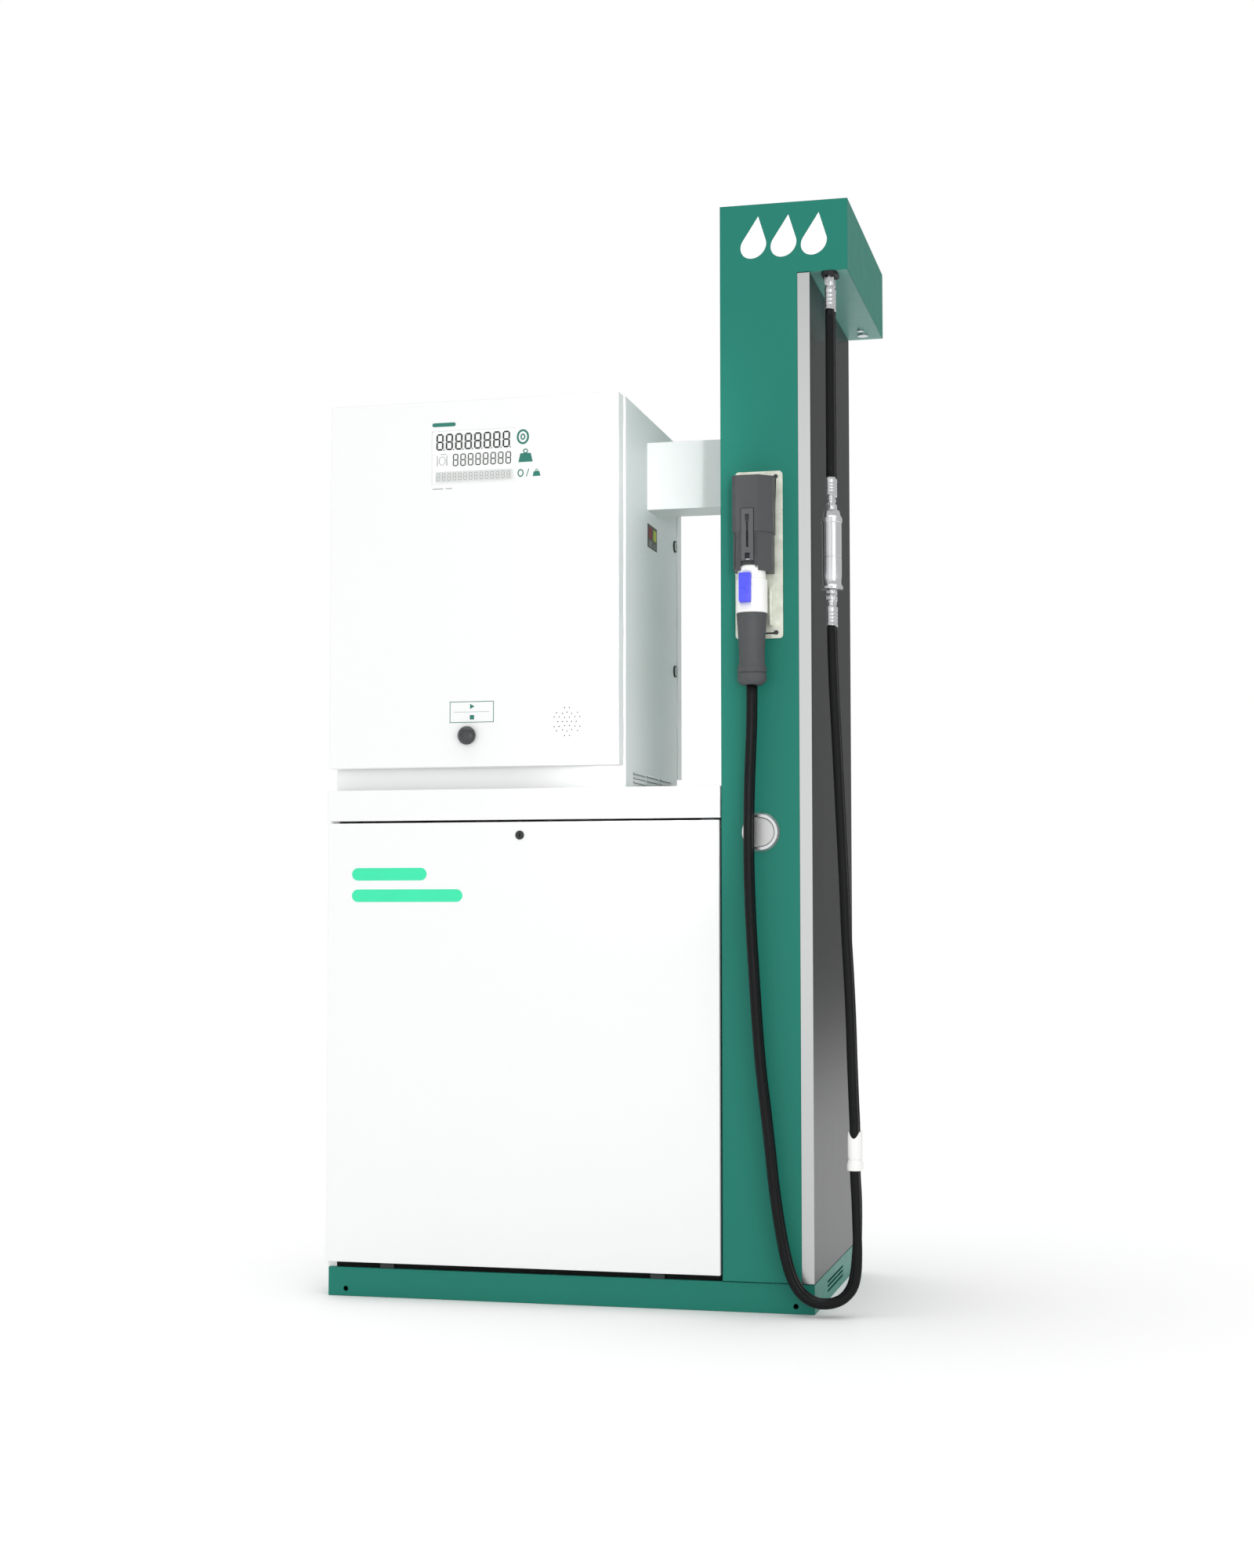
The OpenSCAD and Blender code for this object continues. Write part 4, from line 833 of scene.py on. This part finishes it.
def loop_mark(bm, x, z, rx, rz, width):
    """A printed ring on the door."""
    rows = []
    for k in range(LOOP_STEPS + 1):
        a = math.radians(360) * k / LOOP_STEPS
        rows.append([bm.verts.new((x + (rx + s * width / 2) * math.cos(a), DOOR_FACE - t,
                                   z + (rz + s * width / 2) * math.sin(a)))
                     for t in (INK, 0.0) for s in (-1, 1)])
    for low, high in zip(rows, rows[1:]):
        bm.faces.new((low[0], low[1], high[1], high[0]))
        bm.faces.new((low[1], low[3], high[3], high[1]))
        bm.faces.new((low[0], high[0], high[2], low[2]))


bm = bmesh.new()
COIN = (-0.0935, 1.8315)
loop_mark(bm, *COIN, 0.0115, 0.0140, 0.0044)
loop_mark(bm, *COIN, 0.0040, 0.0055, 0.0030)
WEIGHT = ((-0.016, 0), (0.016, 0), (0.0115, 0.019), (-0.0115, 0.019))
for x, z, size in ((-0.0875, 1.7770, 1.0), (-0.0630, 1.7455, 0.55)):
    bm.faces.new([bm.verts.new((x + u * size, DOOR_FACE - INK, z + v * size)) for u, v in WEIGHT])
    loop_mark(bm, x, z + 0.0235 * size, 0.0045 * size, 0.0040 * size, 0.0024 * size)
loop_mark(bm, -0.0985, 1.7535, 0.0055, 0.0072, 0.0026)
segment(bm, -0.0860, 1.7450, -0.0800, 1.7625, 0.0018, DOOR_FACE)
printed("unit_marks", bm, teal_ink, FRONT_DOOR)

bm = bmesh.new()
X0, X1, Z0, Z1, LINE = -0.2550, -0.1568, 1.2210, 1.2665, 0.0014
for x0, z0, x1, z1 in (
        (X0, Z0, X1, Z0 + LINE), (X0, Z1 - LINE, X1, Z1),
        (X0, Z0 + LINE, X0 + LINE, Z1 - LINE), (X1 - LINE, Z0 + LINE, X1, Z1 - LINE),
        (X0 + 0.010, 1.2436, X1 - 0.010, 1.2441)):
    bar(bm, x0, z0, x1, z1, DOOR_FACE, INK)
START_TRIANGLE = ((-0.2095, 1.2500), (-0.2095, 1.2610), (-0.1995, 1.2555))
bm.faces.new([bm.verts.new((x, DOOR_FACE - INK, z)) for x, z in START_TRIANGLE])
bar(bm, -0.2100, 1.2275, -0.2005, 1.2370, DOOR_FACE, INK)
printed("knob_label", bm, teal_ink, FRONT_DOOR)


def arc(radius, start, stop, step):
    """Points round a centre, from one angle in degrees up to another."""
    return [(radius * math.cos(math.radians(a)), radius * math.sin(math.radians(a)))
            for a in range(start, stop, step)]


def pill(bm, x0, z0, x1, z1, y):
    """A printed stripe with round ends."""
    r = (z1 - z0) / 2
    outline = [(x0 + r + u, z0 + r + v) for u, v in arc(r, 90, 271, 15)]
    outline += [(x1 - r + u, z0 + r + v) for u, v in arc(r, -90, 91, 15)]
    bm.faces.new([bm.verts.new((x, y - INK, z)) for x, z in outline])


bm = bmesh.new()
pill(bm, -0.2970, 1.8620, -0.2440, 1.8705, DOOR_FACE)
printed("door_stripe", bm, teal_ink, FRONT_DOOR)
bm = bmesh.new()
for x0, x1 in ((-0.2960, -0.2720), (-0.2660, -0.2520)):
    bar(bm, x0, 1.7260, x1, 1.7277, DOOR_FACE, INK)
printed("note_lines", bm, pale_ink, FRONT_DOOR)

# ---- Stripes on the service panel ----
# Two plain mint stripes of adhesive film, rubbed on high at the left of the front panel,
# which lies in the same plane as the door.
PANEL_FACE = -0.3000
mint_ink = plastic_finish("mint_ink", linear("#38e8ae"), 0.55)
bm = bmesh.new()
pill(bm, -0.4740, 0.8850, -0.3050, 0.9120, PANEL_FACE)
pill(bm, -0.4740, 0.8390, -0.2250, 0.8660, PANEL_FACE)
printed("panel_stripes", bm, mint_ink, "front_panel")

# ---- Push knob ----
# A dark moulded mushroom knob on a round stem. It starts and stops a filling, and a
# spring in the switch block behind it pushes it back. A small speaker with a black cloth
# sits beside it, behind the holes in the door.
KNOB = (-0.2145, 1.193)  # X and Z of its axis
KNOB_R, DOME_H = 0.0185, 0.013
knob_plastic = plastic_finish("knob_plastic", linear("#343739"), 0.3, 0.2, 0.00001)
DOME = [(u + 0.0015, v / KNOB_R * DOME_H + 0.008) for u, v in arc(KNOB_R, 0, 86, 6)]
KNOB_LEVELS = [(0.004, -0.013), (0.0095, -0.0128), (0.010, -0.012), (0.010, 0.0063),
               (0.0185, 0.0063), (0.0198, 0.0072), *DOME, (0.0008, 0.021)]
knob = shown("mushroom_knob", spun("mushroom_knob", (KNOB[0], DOOR_FACE, KNOB[1]), KNOB_LEVELS,
                                   64, None, "-Y"), knob_plastic, "push_knob")
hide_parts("push_knob")
carry("switch_block", lock_plastic)
speaker_cloth = rubber_finish("speaker_cloth", linear("#1d1f20"), linear("#2b2d2e"), 0.8)
carry("speaker", speaker_cloth)

# ---- Rating plate ----
# A thin black aluminium plate riveted to the head's right side, with two plain coloured
# squares and a few pale lines in place of its printing.
plate_black = plastic_finish("plate_black", linear("#17181a"), 0.35)
carry("label_plate", plate_black, 0.0003)
SIDE_X = 0.1226  # the plate's outer face
red_square = plastic_finish("red_square", linear("#8e2a25"), 0.5)
lime_square = plastic_finish("lime_square", linear("#b8c436"), 0.5)
pale_print = plastic_finish("pale_print", linear("#aeb2b0"), 0.5)


def side_print(name, fields, finish):
    """Flat prints on the plate, each between two corners in Y and Z."""
    bm = bmesh.new()
    for y0, z0, y1, z1 in fields:
        corners = ((y0, z0), (y1, z0), (y1, z1), (y0, z1))
        raised(bm, [(SIDE_X + INK, y, z) for y, z in corners],
               [(SIDE_X - INK / 2, y, z) for y, z in corners])
    return printed(name, bm, finish, BODY)


side_print("plate_red", [(-0.040, 1.648, -0.010, 1.672)], red_square)
side_print("plate_lime", [(0.006, 1.648, 0.034, 1.672)], lime_square)
LINES, LINE_PITCH = 3, 0.0045
side_print("plate_lines",
           [(-0.040, 1.6405 - i * LINE_PITCH, -0.002 - 0.007 * (i % 2), 1.6422 - i * LINE_PITCH)
            for i in range(LINES)]
           + [(0.008, 1.6335, 0.032, 1.6350), (0.008, 1.6385, 0.026, 1.6400)], pale_print)

# ---- Column ----
# One folded green sheet on each face, joined by a stainless cover on the outer side
# whose edges wrap round to the front and rear as strips, painted a lighter steel as a painted
# highlight. A green canopy shell caps it, with three plain white drops of film on its front.
carry("column_front", green_coat)
carry("column_rear", green_coat)
carry("canopy_shell", green_coat)
white_ink = plastic_finish("white_ink", linear("#f7f8f7"), 0.5)
bm = bmesh.new()
DROP_R, DROP_Z, LEAN, CANOPY_FACE = 0.0270, 2.1850, 0.17, -0.2942
DROP = [(u, v + DROP_R) for u, v in arc(DROP_R, 150, 391, 10)] + [(0, 3.3 * DROP_R)]
for x in (0.4020, 0.4660, 0.5300):
    bm.faces.new([bm.verts.new((x + u + LEAN * v, CANOPY_FACE, DROP_Z + v)) for u, v in DROP])
printed("canopy_drops", bm, white_ink, BODY)
# Painted reflection: the underside is coloured a paler, greyer green than the shell, for the pale
# floor's light it catches.
under_coat = powder_coat("under_coat", linear("#5f978e"), linear("#5c948a"), 0.34)
carry("canopy_underside", under_coat)
EDGE_Y = 0.2925  # the cover's folded edges lie beyond this, at the front and at the rear
drawn_steel = steel_finish("drawn_steel", linear("#8f9090"), 0.25, 0.012, 160, (1, 1, 0.01),
                           0.000003)
drawn_shader = drawn_steel.node_tree.nodes["Principled BSDF"]
drawn_shader.inputs["Specular Tint"].default_value = (0.5, 0.5, 0.5, 1)
reach = worked(drawn_steel, "ABSOLUTE", place_on(drawn_steel)["Y"])
# Painted highlight: the strips that face front and rear are coloured a lighter steel than the side.
painted_where(drawn_steel, worked(drawn_steel, "GREATER_THAN", reach, EDGE_Y), linear("#bebfbf"))
carry("column_side_cover", drawn_steel)

# ---- Round port ----
# A turned stainless bezel with a plain satin disc let into it. It is pressed into a hole
# in the column's front, at hand height.
satin_disc = steel_finish("satin_disc", linear("#c8c9c8"), 0.38, 0.03, 300, (1, 1, 1), 0.000008)
carry("port_bezel", machined_steel)
carry("port_disc", satin_disc)

# ---- Equipment inside ----
# Gas inlet, ball valve, filter, mass flow meter, solenoid valves and stainless pipework
# on the equipment plate, and the controller and power supply in the head.
for node in ("gas_inlet", "ball_valve", "filter", "pressure_sensor", "pipework"):
    carry(node, machined_steel, 0.0008)
red_lever = plastic_finish("red_lever", linear("#a3231c"), 0.4)
carry("valve_handle", red_lever, 0.001)
meter_enamel = powder_coat("meter_enamel", linear("#8296a8"), linear("#7a8ea1"), 0.4)
carry("flow_meter", meter_enamel, 0.001)
coil_black = plastic_finish("coil_black", linear("#2b2d2f"), 0.45)
carry("solenoid_valves", coil_black, 0.001)
circuit_green = plastic_finish("circuit_green", linear("#2c5a35"), 0.5)
carry("controller", circuit_green, 0.001)
carry("power_supply", zinc, 0.001)

# ---- Studio ----
# A pale seamless floor under soft light from the front and above. The air is darker
# behind the right side, so that the stainless cover has something dark to reflect.
FLOOR_OUTLINE = ((-30, -30), (30, -30), (30, 3), (1.65, 3), (3.7, 60), (-30, 60))
FLOOR_Z, PALE = -0.0005, 0.93
bm = bmesh.new()
bm.faces.new([bm.verts.new((x, y, FLOOR_Z)) for x, y in FLOOR_OUTLINE])
floor_finish = new_finish("studio_floor", (PALE, PALE, PALE), 0.9)
floor = shown("studio_floor", mesh_from("studio_floor", bm), floor_finish, None)

world = bpy.data.worlds.new("studio")
bpy.context.scene.world = world
world.use_nodes = True
sky = world.node_tree.nodes["Background"]
place = world.node_tree.nodes.new("ShaderNodeTexCoord")
split = world.node_tree.nodes.new("ShaderNodeSeparateXYZ")


def fade(start, end):
    """A value that goes from 0 at start to 1 at end."""
    ramp = world.node_tree.nodes.new("ShaderNodeMapRange")
    ramp.inputs["From Min"].default_value = start
    ramp.inputs["From Max"].default_value = end
    return ramp


link = world.node_tree.links.new
link(place.outputs["Generated"], split.inputs["Vector"])


def product(ramps):
    """The product of several fades, each along one axis of the sky."""
    value = None
    for axis, start, end in ramps:
        ramp = fade(start, end)
        link(split.outputs[axis], ramp.inputs["Value"])
        if value is None:
            value = ramp.outputs["Result"]
            continue
        both = world.node_tree.nodes.new("ShaderNodeMath")
        both.operation = "MULTIPLY"
        link(value, both.inputs[0])
        link(ramp.outputs["Result"], both.inputs[1])
        value = both.outputs["Value"]
    return value


def blended(factor, first, second):
    """The first colour or socket, and the second colour where the factor is 1."""
    mixed = world.node_tree.nodes.new("ShaderNodeMix")
    mixed.data_type = "RGBA"
    link(factor, mixed.inputs["Factor"])
    mixed.inputs["B"].default_value = second
    if isinstance(first, tuple):
        mixed.inputs["A"].default_value = first
    else:
        link(first, mixed.inputs["A"])
    return mixed.outputs["Result"]


backdrop = product((("Y", 0.25, 0.5), ("X", 0.12, 0.06)))
flag = product((("X", 0.05, 0.09), ("X", 0.33, 0.26), ("Y", 0.2, 0.5), ("Z", 0.55, 0.40)))
SIDE_AIR, BACK_AIR = (0.78, 0.78, 0.78, 1), (1.0, 1.0, 1.0, 1)
DARK_AIR = (0.07, 0.071, 0.071, 1)
link(blended(flag, blended(backdrop, SIDE_AIR, BACK_AIR), DARK_AIR), sky.inputs["Color"])
sky.inputs["Strength"].default_value = 1.0


def lamp(name, spot, aim, power, width, height):
    """A flat rectangular lamp that faces a point."""
    light = bpy.data.objects.new(name, bpy.data.lights.new(name, "AREA"))
    light.data.shape = "RECTANGLE"
    light.data.size, light.data.size_y = width, height
    light.data.energy = power
    light.location = spot
    light.rotation_euler = (Vector(aim) - Vector(spot)).to_track_quat("-Z", "Y").to_euler()
    bpy.context.collection.objects.link(light)
    return light


lamp("front_softbox", (-0.8, -6.2, 2.0), (0, 0, 1.2), 22, 4.0, 3.5)
lamp("side_softbox", (3.2, -4.4, 1.3), (0.12, -0.1, 1.3), 45, 3.0, 3.0)
strip = lamp("strip_light", (1.0, -2.2, 1.35), (0.12, -0.15, 1.45), 0.55, 0.10, 1.0)
strip.data.spread = math.radians(13)
sun = bpy.data.objects.new("ceiling", bpy.data.lights.new("ceiling", "SUN"))
sun.data.energy = 0.9
sun.data.angle = math.radians(60)
bpy.context.collection.objects.link(sun)
bpy.context.scene.view_settings.view_transform = "Standard"
